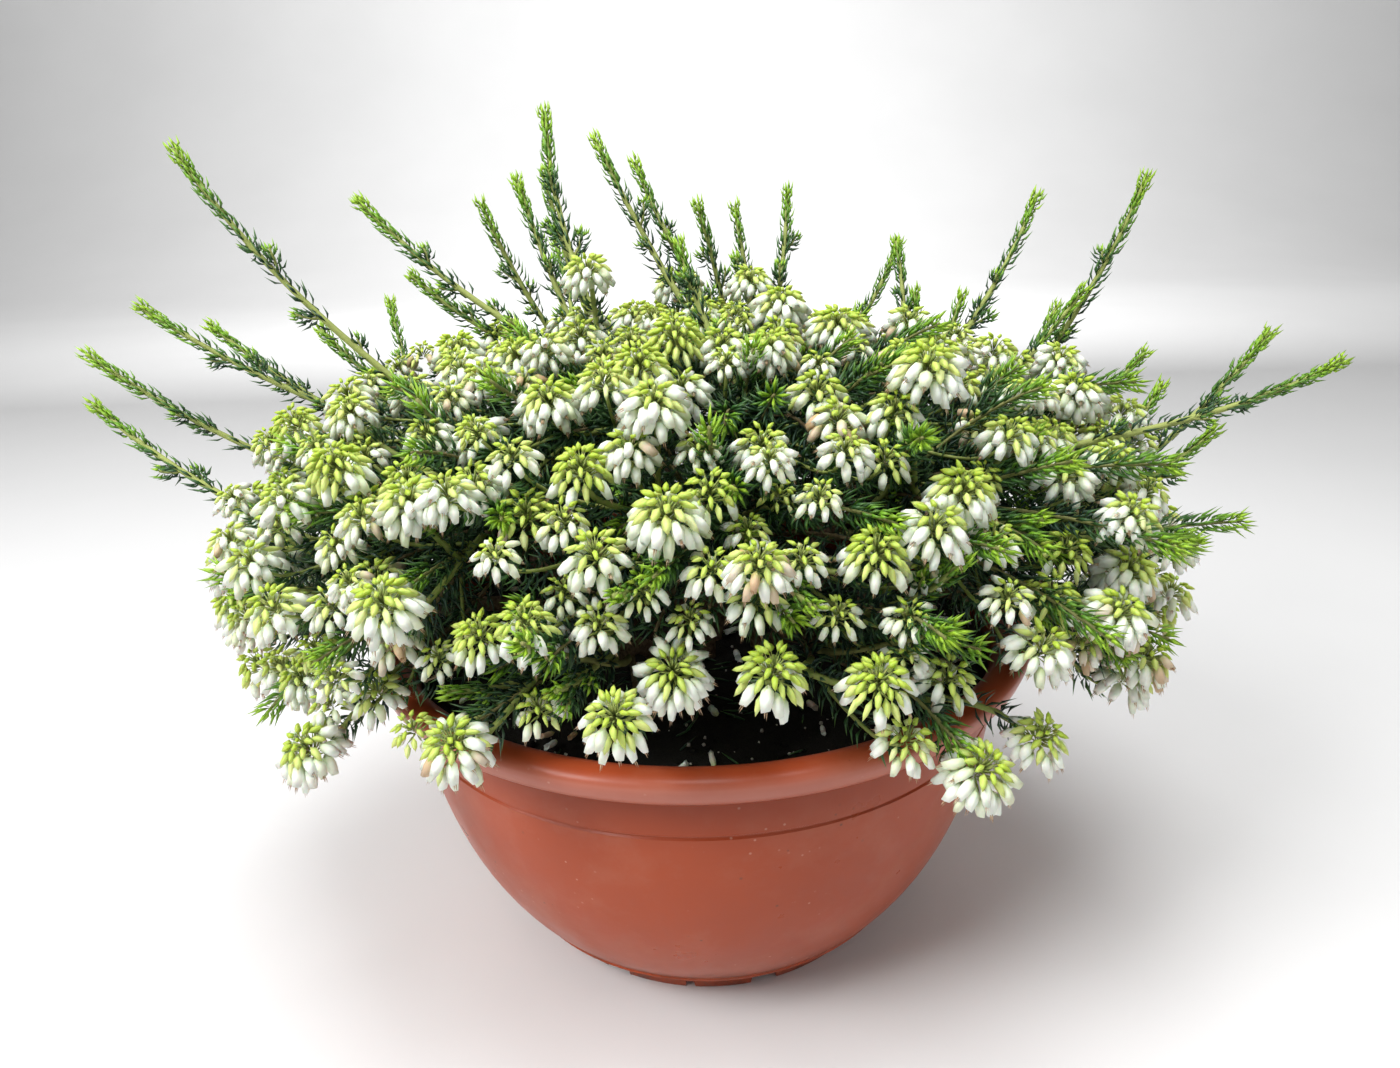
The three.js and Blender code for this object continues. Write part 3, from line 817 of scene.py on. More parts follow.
    def rim_point(self, at: np.ndarray) -> np.ndarray:
        """Finds the nearest place on the middle line of the bowl's lip.

        Args:
            at: A place.

        Returns:
            The place on the lip.
        """
        depth = self.bowl.lip_depth
        share = (self.bowl.rim_radius - depth) / max(math.hypot(at[0], at[1]), 1.0)
        return np.array([at[0] * share, at[1] * share, self.bowl.rim_height - depth])

    def _settle_heads(self) -> None:
        """Moves heads apart that stand too close to each other, to a shoot or to the lip."""
        s = self.sizes
        heads = [head for bunch in self.bunches for head in bunch.heads]
        places = np.array([head.at for head in heads])
        sizes = np.array([head.size for head in heads])
        shoots = [shoot for stem in self.stems for shoot in stem.shoots]
        counts = [math.ceil(shoot.length / s.post_spacing) + 1 for shoot in shoots]
        posts = np.vstack([shoot.at(np.linspace(0, shoot.length, n)) for shoot, n in zip(shoots, counts)])
        for _ in range(s.settle_passes):
            for a in range(len(heads)):
                self._push_pairs(places, sizes, a)
                room = s.head_reach * sizes[a] + s.shoot_room
                self._push_off(places, a, posts, room)
                rim = self.rim_point(places[a])[None]
                self._push_off(places, a, rim, s.head_reach * sizes[a] + s.rim_room)
                places[a, 2] = max(places[a, 2], self.lowest_place(places[a]))
        for head, place in zip(heads, places):
            head.at = place

    def _push_pairs(self, places: np.ndarray, sizes: np.ndarray, a: int) -> None:
        """Pushes one head and each later one apart.

        Args:
            places: All heads' places, changed here.
            sizes: All heads' sizes.
            a: Which head.
        """
        s = self.sizes
        start = a + 1
        while start < len(places):
            apart = places[a] - places[start:]
            rooms = s.head_reach * (sizes[a] + sizes[start:]) + s.head_gap
            close = np.nonzero(np.linalg.norm(apart, axis=1) < rooms)[0]
            if not len(close):
                return
            b = start + int(close[0])
            gap = places[a] - places[b]
            length = float(np.linalg.norm(gap))
            move = gap / length * (rooms[close[0]] - length) * 0.5
            places[a] += move
            places[b] -= move
            start = b + 1

    @staticmethod
    def _push_off(places: np.ndarray, a: int, posts: np.ndarray, room: float) -> None:
        """Pushes one head off each post that stands within its room.

        Args:
            places: All heads' places, changed here.
            a: Which head.
            posts: Places to keep clear of.
            room: How far.
        """
        start = 0
        while start < len(posts):
            apart = places[a] - posts[start:]
            lengths = np.linalg.norm(apart, axis=1)
            close = np.nonzero(lengths < room)[0]
            if not len(close):
                return
            k = int(close[0])
            places[a] = places[a] + apart[k] / lengths[k] * (room - lengths[k])
            start += k + 1

    def _lay_stalks(self) -> None:
        """Draws a stalk to each head, the first from the bunch's root and the others branching off it."""
        s = self.sizes
        for bunch in self.bunches:
            bends = []
            for head in bunch.heads:
                below = head.at - head.axis * s.stalk_bend
                below[2] = max(below[2], self.bowl.rim_height + s.stalk_rim_room)
                bends.append(below)
            split = bunch.root + (bends[0] - bunch.root) * s.stalk_split
            for i, (head, bend) in enumerate(zip(bunch.heads, bends)):
                foot = bunch.root if i == 0 else split
                seat = head.at - head.axis * s.stalk_seat * head.size
                ahead = foot + (bunch.heading if i == 0 else unit(bend - foot)) * s.stalk_start
                bunch.stalks.append(Curve.bezier((foot, ahead, bend, seat), s.drawn_steps))


# Finishes


class Tree:
    """A small helper that builds a material's nodes."""

    def __init__(self, name: str, roughness: float, specular: float) -> None:
        """Starts a material with one principled shader.

        Args:
            name: The material's name.
            roughness: The shader's roughness.
            specular: The shader's specular level.
        """
        self.material = bpy.data.materials.new(name)
        self.material.use_nodes = True
        self.nodes = self.material.node_tree.nodes
        self.links = self.material.node_tree.links
        self.shader = self.nodes["Principled BSDF"]
        self.shader.inputs["Roughness"].default_value = roughness
        self.shader.inputs["Specular IOR Level"].default_value = specular
        self.place = self.nodes.new("ShaderNodeTexCoord").outputs["Object"]

    def attribute(self, name: str) -> Socket:
        """Reads a value stored at the corners.

        Args:
            name: The value's name.

        Returns:
            The socket with the value.
        """
        node = self.nodes.new("ShaderNodeAttribute")
        node.attribute_name = name
        return node.outputs["Fac"]

    def noise(self, scale: float, detail: float = 3.0, roughness: float = 0.5) -> Socket:
        """Makes a cloudy pattern in space.

        Args:
            scale: How fine it is, per metre.
            detail: How many finer layers it has.
            roughness: How strong the finer layers are.

        Returns:
            The socket with the pattern, about 0 to 1.
        """
        node = self.nodes.new("ShaderNodeTexNoise")
        node.inputs["Scale"].default_value = scale
        node.inputs["Detail"].default_value = detail
        node.inputs["Roughness"].default_value = roughness
        self.links.new(self.place, node.inputs["Vector"])
        return node.outputs["Fac"]

    def cells(self, scale: float) -> Socket:
        """Makes a pattern of distances to scattered points.

        Args:
            scale: How close together the points are, per metre.

        Returns:
            The socket with the distance.
        """
        node = self.nodes.new("ShaderNodeTexVoronoi")
        node.inputs["Scale"].default_value = scale
        self.links.new(self.place, node.inputs["Vector"])
        return node.outputs["Distance"]

    def ramp(self, value: Socket, stops: Sequence[tuple[float, Colour]]) -> Socket:
        """Turns a value into a colour.

        Args:
            value: The value's socket.
            stops: Pairs of value and colour.

        Returns:
            The colour's socket.
        """
        node = self.nodes.new("ShaderNodeValToRGB")
        bar = node.color_ramp
        while len(bar.elements) < len(stops):
            bar.elements.new(0.5)
        for element, (at, colour) in zip(bar.elements, stops):
            element.position = at
            element.color = (*colour, 1.0)
        self.links.new(value, node.inputs["Fac"])
        return node.outputs["Color"]

    def span(
        self, value: Socket, low: float, high: float, first: float = 0.0, last: float = 1.0
    ) -> Socket:
        """Stretches a value's range, and cuts it off outside.

        Args:
            value: The value's socket.
            low: Value that becomes first.
            high: Value that becomes last.
            first: Result at the low end.
            last: Result at the high end.

        Returns:
            The socket with the result.
        """
        node = self.nodes.new("ShaderNodeMapRange")
        for key, number in (("From Min", low), ("From Max", high), ("To Min", first), ("To Max", last)):
            node.inputs[key].default_value = number
        self.links.new(value, node.inputs["Value"])
        return node.outputs["Result"]

    def math(self, kind: str, a: Socket, b: Socket | float) -> Socket:
        """Combines two values.

        Args:
            kind: Blender's name of the operation.
            a: The first value's socket.
            b: The second value's socket, or a number.

        Returns:
            The socket with the result.
        """
        node = self.nodes.new("ShaderNodeMath")
        node.operation = kind
        node.use_clamp = kind == "MULTIPLY"
        self.links.new(a, node.inputs[0])
        if isinstance(b, (int, float)):
            node.inputs[1].default_value = b
        else:
            self.links.new(b, node.inputs[1])
        return node.outputs["Value"]

    def mix(
        self,
        share: Socket,
        a: Socket | Colour,
        b: Socket | Colour,
        kind: str = "MIX",
    ) -> Socket:
        """Mixes two colours.

        Args:
            share: Socket with the second colour's share.
            a: The first colour or its socket.
            b: The second colour or its socket.
            kind: Blender's name of the way to mix.

        Returns:
            The socket with the mixed colour.
        """
        node = self.nodes.new("ShaderNodeMix")
        node.data_type = "RGBA"
        node.blend_type = kind
        self.links.new(share, node.inputs["Factor"])
        for key, colour in (("A", a), ("B", b)):
            socket = next(x for x in node.inputs if x.name == key and x.type == "RGBA")
            if isinstance(colour, tuple):
                socket.default_value = (*colour, 1.0)
            else:
                self.links.new(colour, socket)
        return next(x for x in node.outputs if x.type == "RGBA")

    def finish(
        self,
        colour: Socket,
        roughness: Socket | None = None,
        bump: Socket | None = None,
        height: float = 0.0001,
        strength: float = 0.5,
    ) -> bpy.types.Material:
        """Wires the shader up.

        Args:
            colour: The base colour's socket.
            roughness: The roughness's socket, if it is patterned.
            bump: The socket with the surface's height, if it has one.
            height: The bump's height in metres.
            strength: The bump's strength.

        Returns:
            The material.
        """
        self.links.new(colour, self.shader.inputs["Base Color"])
        if roughness is not None:
            self.links.new(roughness, self.shader.inputs["Roughness"])
        if bump is not None:
            node = self.nodes.new("ShaderNodeBump")
            node.inputs["Distance"].default_value = height
            node.inputs["Strength"].default_value = strength
            self.links.new(bump, node.inputs["Height"])
            self.links.new(node.outputs["Normal"], self.shader.inputs["Normal"])
        return self.material


@dataclass(frozen=True)
class NeedleFinish:
    """Waxy needle leaves: old ones dark blue-green, young ones lime."""

    old: Colour = (0.014, 0.043, 0.027)
    mid: Colour = (0.040, 0.125, 0.022)
    young: Colour = (0.160, 0.350, 0.018)
    newest: Colour = (0.330, 0.530, 0.030)

    def build(self) -> bpy.types.Material:
        """Builds the material.

        Returns:
            The material.
        """
        tree = Tree("needle_leaf", 0.42, 0.45)
        age = tree.math("ADD", tree.attribute("tint"), tree.span(tree.noise(260), 0.3, 0.7, -0.12, 0.12))
        stops = ((0.0, self.old), (0.4, self.mid), (0.72, self.young), (1.0, self.newest))
        colour = tree.ramp(age, stops)
        lit = tree.mix(tree.span(tree.attribute("along"), 0.55, 1.0, 0.0, 0.3), colour, (0.22, 0.42, 0.06))
        return tree.finish(lit, roughness=tree.span(tree.noise(900), 0.2, 0.8, 0.34, 0.55))


@dataclass(frozen=True)
class BarkFinish:
    """Woody stems: brown below, yellow-green towards the young ends."""

    wood: Colour = (0.085, 0.048, 0.026)
    grey: Colour = (0.170, 0.120, 0.075)
    green: Colour = (0.330, 0.380, 0.110)

    def build(self) -> bpy.types.Material:
        """Builds the material.

        Returns:
            The material.
        """
        tree = Tree("heath_bark", 0.72, 0.3)
        wood = tree.mix(tree.span(tree.noise(700, 4), 0.4, 0.62), self.wood, self.grey)
        colour = tree.mix(tree.attribute("tint"), wood, self.green)
        return tree.finish(colour, bump=tree.noise(1500, 4), height=0.0003, strength=0.6)


@dataclass(frozen=True)
class PetalFinish:
    """Waxy bells: lime buds, white when open, tan when over."""

    name: str = "heath_petal"
    bud: Colour = (0.400, 0.560, 0.035)
    pale: Colour = (0.640, 0.730, 0.230)
    white: Colour = (0.860, 0.890, 0.800)
    over: Colour = (0.560, 0.370, 0.200)

    def build(self) -> bpy.types.Material:
        """Builds the material.

        Returns:
            The material.
        """
        tree = Tree(self.name, 0.46, 0.4)
        stage = tree.attribute("tint")
        stops = ((0.0, self.bud), (0.32, self.pale), (0.55, self.white), (0.86, self.white), (1.0, self.over))
        colour = tree.ramp(stage, stops)
        foot = tree.span(tree.attribute("along"), 0.05, 0.5, 0.6, 0.0)
        shaded = tree.mix(foot, colour, (0.380, 0.520, 0.060))
        fine = tree.span(tree.noise(1400, 3), 0.35, 0.7, 0.0, 0.08)
        varied = tree.mix(fine, shaded, (0.700, 0.690, 0.480))
        tree.shader.inputs["Subsurface Weight"].default_value = 0.15
        tree.shader.inputs["Subsurface Scale"].default_value = 0.002
        return tree.finish(varied, roughness=tree.span(tree.noise(1100), 0.2, 0.8, 0.38, 0.58))


@dataclass(frozen=True)
class PlainPartFinish:
    """A small plant part of one colour with a cloudy variation."""

    name: str
    main: Colour
    other: Colour
    roughness: float = 0.6
    scale: float = 900.0

    def build(self) -> bpy.types.Material:
        """Builds the material.

        Returns:
            The material.
        """
        tree = Tree(self.name, self.roughness, 0.35)
        colour = tree.mix(tree.span(tree.noise(self.scale), 0.35, 0.65), self.main, self.other)
        return tree.finish(colour)


@dataclass(frozen=True)
class PlasticFinish:
    """Terracotta-coloured moulded plastic with dust and dried soil on it, painted shade in its creases and
    under its lip, and a painted highlight on the lip.
    """

    main: Colour = (0.385, 0.067, 0.021)
    deep: Colour = (0.330, 0.055, 0.018)
    dust: Colour = (0.520, 0.270, 0.190)
    dirt: Colour = (0.085, 0.045, 0.030)
    shade: Colour = (0.150, 0.024, 0.010)
    # colour of the painted highlight on the lip
    lip_highlight: Colour = (0.560, 0.300, 0.250)
    # heights of painted shade: thin dark lines along the base ribs and just under the lip
    shaded_creases: tuple[float, ...] = (0.0072, 0.0106, 0.0140, 0.1050)
    splashed: Span = (0.026, 0.004)
    # painted shadow under the lip: the heights over which it darkens, and where it stops at the lip's foot
    lip_shadow_band: Span = (0.084, 0.104)
    lip_shadow_edge: Span = (0.1062, 0.1054)
    highlight_lip_side: Span = (0.1066, 0.1090)
    highlight_lip_top: Span = (0.1152, 0.1125)

    def build(self) -> bpy.types.Material:
        """Builds the material.

        Returns:
            The material.
        """
        tree = Tree("terracotta_plastic", 0.34, 0.24)
        split = tree.nodes.new("ShaderNodeSeparateXYZ")
        tree.links.new(tree.place, split.inputs["Vector"])
        height = split.outputs["Z"]
        colour = tree.mix(tree.span(tree.noise(14, 3), 0.35, 0.68), self.main, self.deep)
        film = tree.span(tree.noise(45, 6, 0.62), 0.5, 0.78)
        colour = tree.mix(tree.math("MULTIPLY", film, 0.16), colour, self.dust)
        dots = tree.span(tree.cells(230), 0.12, 0.06)
        dots = tree.math("MULTIPLY", dots, tree.span(tree.noise(30), 0.52, 0.6))
        colour = tree.mix(tree.math("MULTIPLY", dots, 0.75), colour, self.dust)
        # painted shade: darken a thin line at each of those heights, as shade falling into the creases
        for crease in self.shaded_creases:
            off = tree.math("ABSOLUTE", tree.math("SUBTRACT", height, crease), 0.0)
            crease_shade = tree.math("MULTIPLY", tree.span(off, 0.0012, 0.0002), 0.55)
            colour = tree.mix(crease_shade, colour, self.shade)
        # painted shadow: darken the wall below the lip, strongest just under it and fading out downwards
        under = tree.math("MULTIPLY", tree.span(height, *self.lip_shadow_band), 0.5)
        under = tree.math("MULTIPLY", under, tree.span(height, *self.lip_shadow_edge))
        colour = tree.mix(under, colour, self.shade)
        # painted highlight: a pale pink band over the lip's rounded side, standing in for its gloss
        highlight = tree.math("MULTIPLY", tree.span(height, *self.highlight_lip_side), 0.30)
        highlight = tree.math("MULTIPLY", highlight, tree.span(height, *self.highlight_lip_top))
        colour = tree.mix(highlight, colour, self.lip_highlight)
        stain = tree.span(tree.noise(120, 5, 0.65), 0.46, 0.66)
        stain = tree.math("MULTIPLY", tree.span(height, *self.splashed), stain)
        colour = tree.mix(tree.math("MULTIPLY", stain, 0.7), colour, self.dirt)
        specks = tree.span(tree.cells(160), 0.10, 0.05)
        specks = tree.math("MULTIPLY", specks, tree.span(tree.noise(23), 0.57, 0.63))
        colour = tree.mix(tree.math("MULTIPLY", specks, 0.85), colour, self.dirt)
        rough = tree.span(tree.noise(60, 5), 0.3, 0.7, 0.27, 0.40)
        return tree.finish(colour, roughness=rough, bump=tree.noise(480, 3), height=0.00006, strength=0.25)


@dataclass(frozen=True)
class PeatFinish:
    """Dark moist peat."""

    dark: Colour = (0.011, 0.0095, 0.007)
    brown: Colour = (0.048, 0.038, 0.024)

    def build(self) -> bpy.types.Material:
        """Builds the material.

        Returns:
            The material.
        """
        tree = Tree("peat", 0.9, 0.25)
        stops = ((0.35, self.dark), (0.62, self.dark), (0.8, self.brown))
        colour = tree.ramp(tree.noise(420, 6, 0.68), stops)
        return tree.finish(colour, bump=tree.noise(900, 5, 0.7), height=0.0009, strength=0.9)


# Pieces of the object


@dataclass
class Keeper:
    """Tells where plant parts may not go: the bowl and the soil in it."""

    bowl: BowlSizes
    soil_reach: float = 104.0
    soil_room: float = 1.0

    def clear(self, points: np.ndarray, room: float = 0.6) -> np.ndarray:
        """Tests places against the bowl and the soil.

        Args:
            points: Places, one row each.
            room: How far to stay off.

        Returns:
            True for each place that is free.
        """
        reach = np.hypot(points[:, 0], points[:, 1])
        height = points[:, 2]
        bowl = self.bowl
        in_lip = (height < bowl.rim_height + room) & (np.abs(reach - bowl.lip_middle) < bowl.lip_half + room)
        in_wall = (height < bowl.lip_height) & (reach > bowl.wall_inside) & (reach < bowl.wall_outside + room)
        in_soil = (height < bowl.soil_top + self.soil_room + room) & (reach <= self.soil_reach)
        return ~(in_lip | in_wall | in_soil)


@dataclass(frozen=True)
class ShootLook:
    """How the needles stand on one kind of shoot.

    Attributes:
        first: Share of the shoot that is bare at its foot.
        widest_gap: Distance between whorls on the old wood.
        young: Share of the shoot, measured from its tip, that turns from dark to lime.
        lean: Angle between an old needle and the shoot, in degrees.
        tip_lean: The same at the tip.
        length: Length of an old needle.
        missing: Share of the old needles that have dropped.
        tip_tint: Tint at the tip, 1 for lime.
        bark: Tint of the bark, 1 for green.
    """

    first: float
    widest_gap: float
    young: float
    lean: float
    tip_lean: float
    length: float
    missing: float
    tip_tint: float
    bark: float


class ShootKind(Enum):
    """Kinds of shoots."""

    LONG = ShootLook(0.24, 3.6, 0.55, 46, 15, 7.0, 0.50, 1.0, 1.0)
    SHORT = ShootLook(0.30, 2.6, 0.50, 56, 30, 9.2, 0.08, 1.0, 0.55)
    SIDE = ShootLook(0.10, 1.8, 0.90, 48, 30, 5.2, 0.0, 1.0, 0.80)
    TWIG = ShootLook(0.42, 2.7, 0.40, 60, 34, 8.8, 0.05, 0.95, 0.30)
    DARK = ShootLook(0.30, 3.1, 0.10, 62, 45, 9.6, 0.05, 0.25, 0.10)
    STALK = ShootLook(0.12, 2.6, 0.20, 58, 50, 7.6, 0.10, 0.40, 0.30)


@dataclass
class LeafyStem:
    """A woody stem with its shoots, side twigs and needle leaves."""

    stem: Stem
    bunches: list[Bunch]
    layout: PlantLayout
    keeper: Keeper
    needle_width: float = 1.3
    needle_flatness: float = 0.66
    needle_bow: float = 2.6
    needle_lengths: Span = (0.78, 1.15)
    tip_shortening: float = 0.38
    tip_gap: float = 1.15
    tip_share: float = 0.93
    tip_flare: float = 9.0
    whorl: int = 4
    turn_jitter: float = 0.2
    lean_jitter: float = 8.0
    old_tints: Span = (-0.05, 0.16)
    greening: float = 2.1
    stalk_end: float = 4.0
    side_reach: Span = (4.0, 10.0)
    side_span: Span = (0.36, 0.80)
    side_count: int = 4
    long_thick: Span = (1.5, 0.8)
    short_thick: Span = (1.2, 0.6)
    twig_thick: Span = (0.8, 0.45)
    side_thick: Span = (0.6, 0.4)
    branch_thick: Span = (1.05, 1.15)
    needle: Shape = field(init=False)

    def __post_init__(self) -> None:
        """Makes the needle that all leaves are copies of."""
        straight = double_cone(0.42, 0.5)
        bent = straight.points.copy()
        bow = self.needle_bow * bent[:, 2] * (1 - bent[:, 2])
        bent[:, 1] = bent[:, 1] * self.needle_flatness - bow
        self.needle = Shape(bent, straight.faces, straight.along)

    def _spots(self, curve: Curve, look: ShootLook) -> np.ndarray:
        """Spaces the whorls, close at the tip and wider below.

        Args:
            curve: The shoot's path.
            look: How its needles stand.

        Returns:
            Distances from the shoot's foot.
        """
        left, spots = 0.4, []
        young = max(look.young * curve.length, 1.0)
        while left < curve.length * (1 - look.first):
            spots.append(curve.length - left)
            left += between((self.tip_gap, look.widest_gap), min(left / young, 1.0))
        return np.array(spots)

    def leaves(self, parts: MeshParts, curve: Curve, look: ShootLook, seed: int) -> None:
        """Sets whorls of needles on a shoot.

        Args:
            parts: Takes the needles.
            curve: The shoot's path.
            look: How its needles stand.
            seed: Seed of the random draws.
        """
        rng = np.random.default_rng(seed)
        spots = self._spots(curve, look)
        if len(spots) < 2:
            return
        heading = curve.headings(spots)
        side = unit(np.cross(heading, [0.21, 0.39, 0.9]))
        other = np.cross(heading, side)
        turn = 2 * math.pi / self.whorl
        angles = (np.arange(len(spots)) * turn / 2)[:, None] + np.arange(self.whorl) * turn
        angles = angles + rng.normal(0, self.turn_jitter, angles.shape)
        out = np.cos(angles)[..., None] * side[:, None] + np.sin(angles)[..., None] * other[:, None]
        fresh = np.clip(1 - (curve.length - spots) / (look.young * curve.length), 0, 1)[:, None]
        lean = between((look.lean, look.tip_lean), fresh**0.8)
        lean = lean + self.tip_flare * (fresh > self.tip_share)
        lean = np.radians(lean + rng.normal(0, self.lean_jitter, angles.shape))
        direction = np.cos(lean)[..., None] * heading[:, None] + np.sin(lean)[..., None] * out
        length = look.length * (1 - self.tip_shortening * fresh**2)
        length = length * rng.uniform(*self.needle_lengths, angles.shape)
        start = rng.uniform(*self.old_tints)
        tint = between((start, look.tip_tint), fresh**self.greening) + rng.normal(0, 0.05, angles.shape)
        kept = rng.uniform(0, 1, angles.shape) > look.missing * (1 - fresh)
        place = curve.at(spots)[:, None] + out * 0.4
        place, direction, out = (a.reshape(-1, 3) for a in (place, unit(direction), out))
        length, tint = length.reshape(-1), tint.reshape(-1)
        end = place + direction * length[:, None]
        free = kept.reshape(-1) & self.keeper.clear(end) & self.keeper.clear(0.5 * (place + end))
        across = unit(np.cross(direction, out))
        frames = np.stack([across, np.cross(direction, across), direction], axis=2)
        width = self.needle_width * rng.uniform(0.85, 1.15, len(length))
        sizes = np.stack([width, width, length], axis=1)
        parts.stamp(self.needle, place[free], frames[free], sizes[free], LeafPart.NEEDLE, tint[free])

    def shoot(
        self, parts: MeshParts, curve: Curve, kind: ShootKind, thick: Span, seed: int
    ) -> None:
        """Adds one leafy shoot.

        Args:
            parts: Takes it.
            curve: Its path.
            kind: Its kind.
            thick: Its radius at the foot and at the tip.
            seed: Seed of the random draws.
        """
        parts.tube(curve, thick, 5, LeafPart.BARK, kind.value.bark)
        self.leaves(parts, curve, kind.value, seed)

    def side_shoots(self, parts: MeshParts, curve: Curve, seed: int) -> None:
        """Adds small tufted side shoots to a long shoot.

        Args:
            parts: Takes them.
            curve: The long shoot's path.
            seed: Seed of the random draws.
        """
        rng = np.random.default_rng(seed)
        for k in range(self.side_count):
            step = (k + rng.uniform(0, 0.9)) / self.side_count
            along = np.array([curve.length * between(self.side_span, step)])
            foot, heading = curve.at(along)[0], curve.headings(along)[0]
            out = frames_along(heading[None], np.array([GOLDEN_ANGLE * k + seed]))[0][:, 0]
            reach = rng.uniform(*self.side_reach)
            bend = foot + (0.75 * out + 0.5 * heading) * reach * 0.5
            tip = bend + (0.35 * out + 0.9 * heading) * reach * 0.6
            if self.keeper.clear(tip[None], 2.0)[0]:
                tuft = Curve.bezier((foot, bend, tip), 12)
                self.shoot(parts, tuft, ShootKind.SIDE, self.side_thick, seed + 7 * k)

    def build(self, finishes: Sequence[bpy.types.Material]) -> bpy.types.Object:
        """Builds the piece.

        Args:
            finishes: Needle and bark materials.

        Returns:
            The object.
        """
        parts, stem, sizes = MeshParts(), self.stem, self.layout.sizes
        parts.tube(stem.drawn, (sizes.stem_radius, sizes.stem_end_radius), 9, LeafPart.BARK, 0.0)
        for i, curve in enumerate(stem.shoots):
            seed = 100 * stem.index + i
            if i < stem.long_shoots:
                self.shoot(parts, curve, ShootKind.LONG, self.long_thick, seed)
                self.side_shoots(parts, curve, seed + 20)
            else:
                self.shoot(parts, curve, ShootKind.SHORT, self.short_thick, seed)
        for i, (curve, kind) in enumerate(stem.fillers):
            self.shoot(parts, curve, kind, self.twig_thick, 100 * stem.index + 50 + i)
        for bunch in self.bunches:
            end = bunch.root - bunch.heading * 0.3
            twig = Curve.bezier((bunch.fork, 0.5 * (bunch.fork + end), end), 12)
            self.shoot(parts, twig, ShootKind.DARK, self.branch_thick, 7000 + stem.index)
            for k, stalk in enumerate(bunch.stalks):
                part = Curve(stalk.at(np.linspace(0.0, max(stalk.length - self.stalk_end, 2.0), 20)))
                self.leaves(parts, part, ShootKind.STALK.value, 8000 + 10 * stem.index + k)
        name = f"leafy_stem_{stem.index + 1:02d}"
        made = parts.build(f"{name}_fine", finishes)
        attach(made, BODY)
        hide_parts(name)
        return made


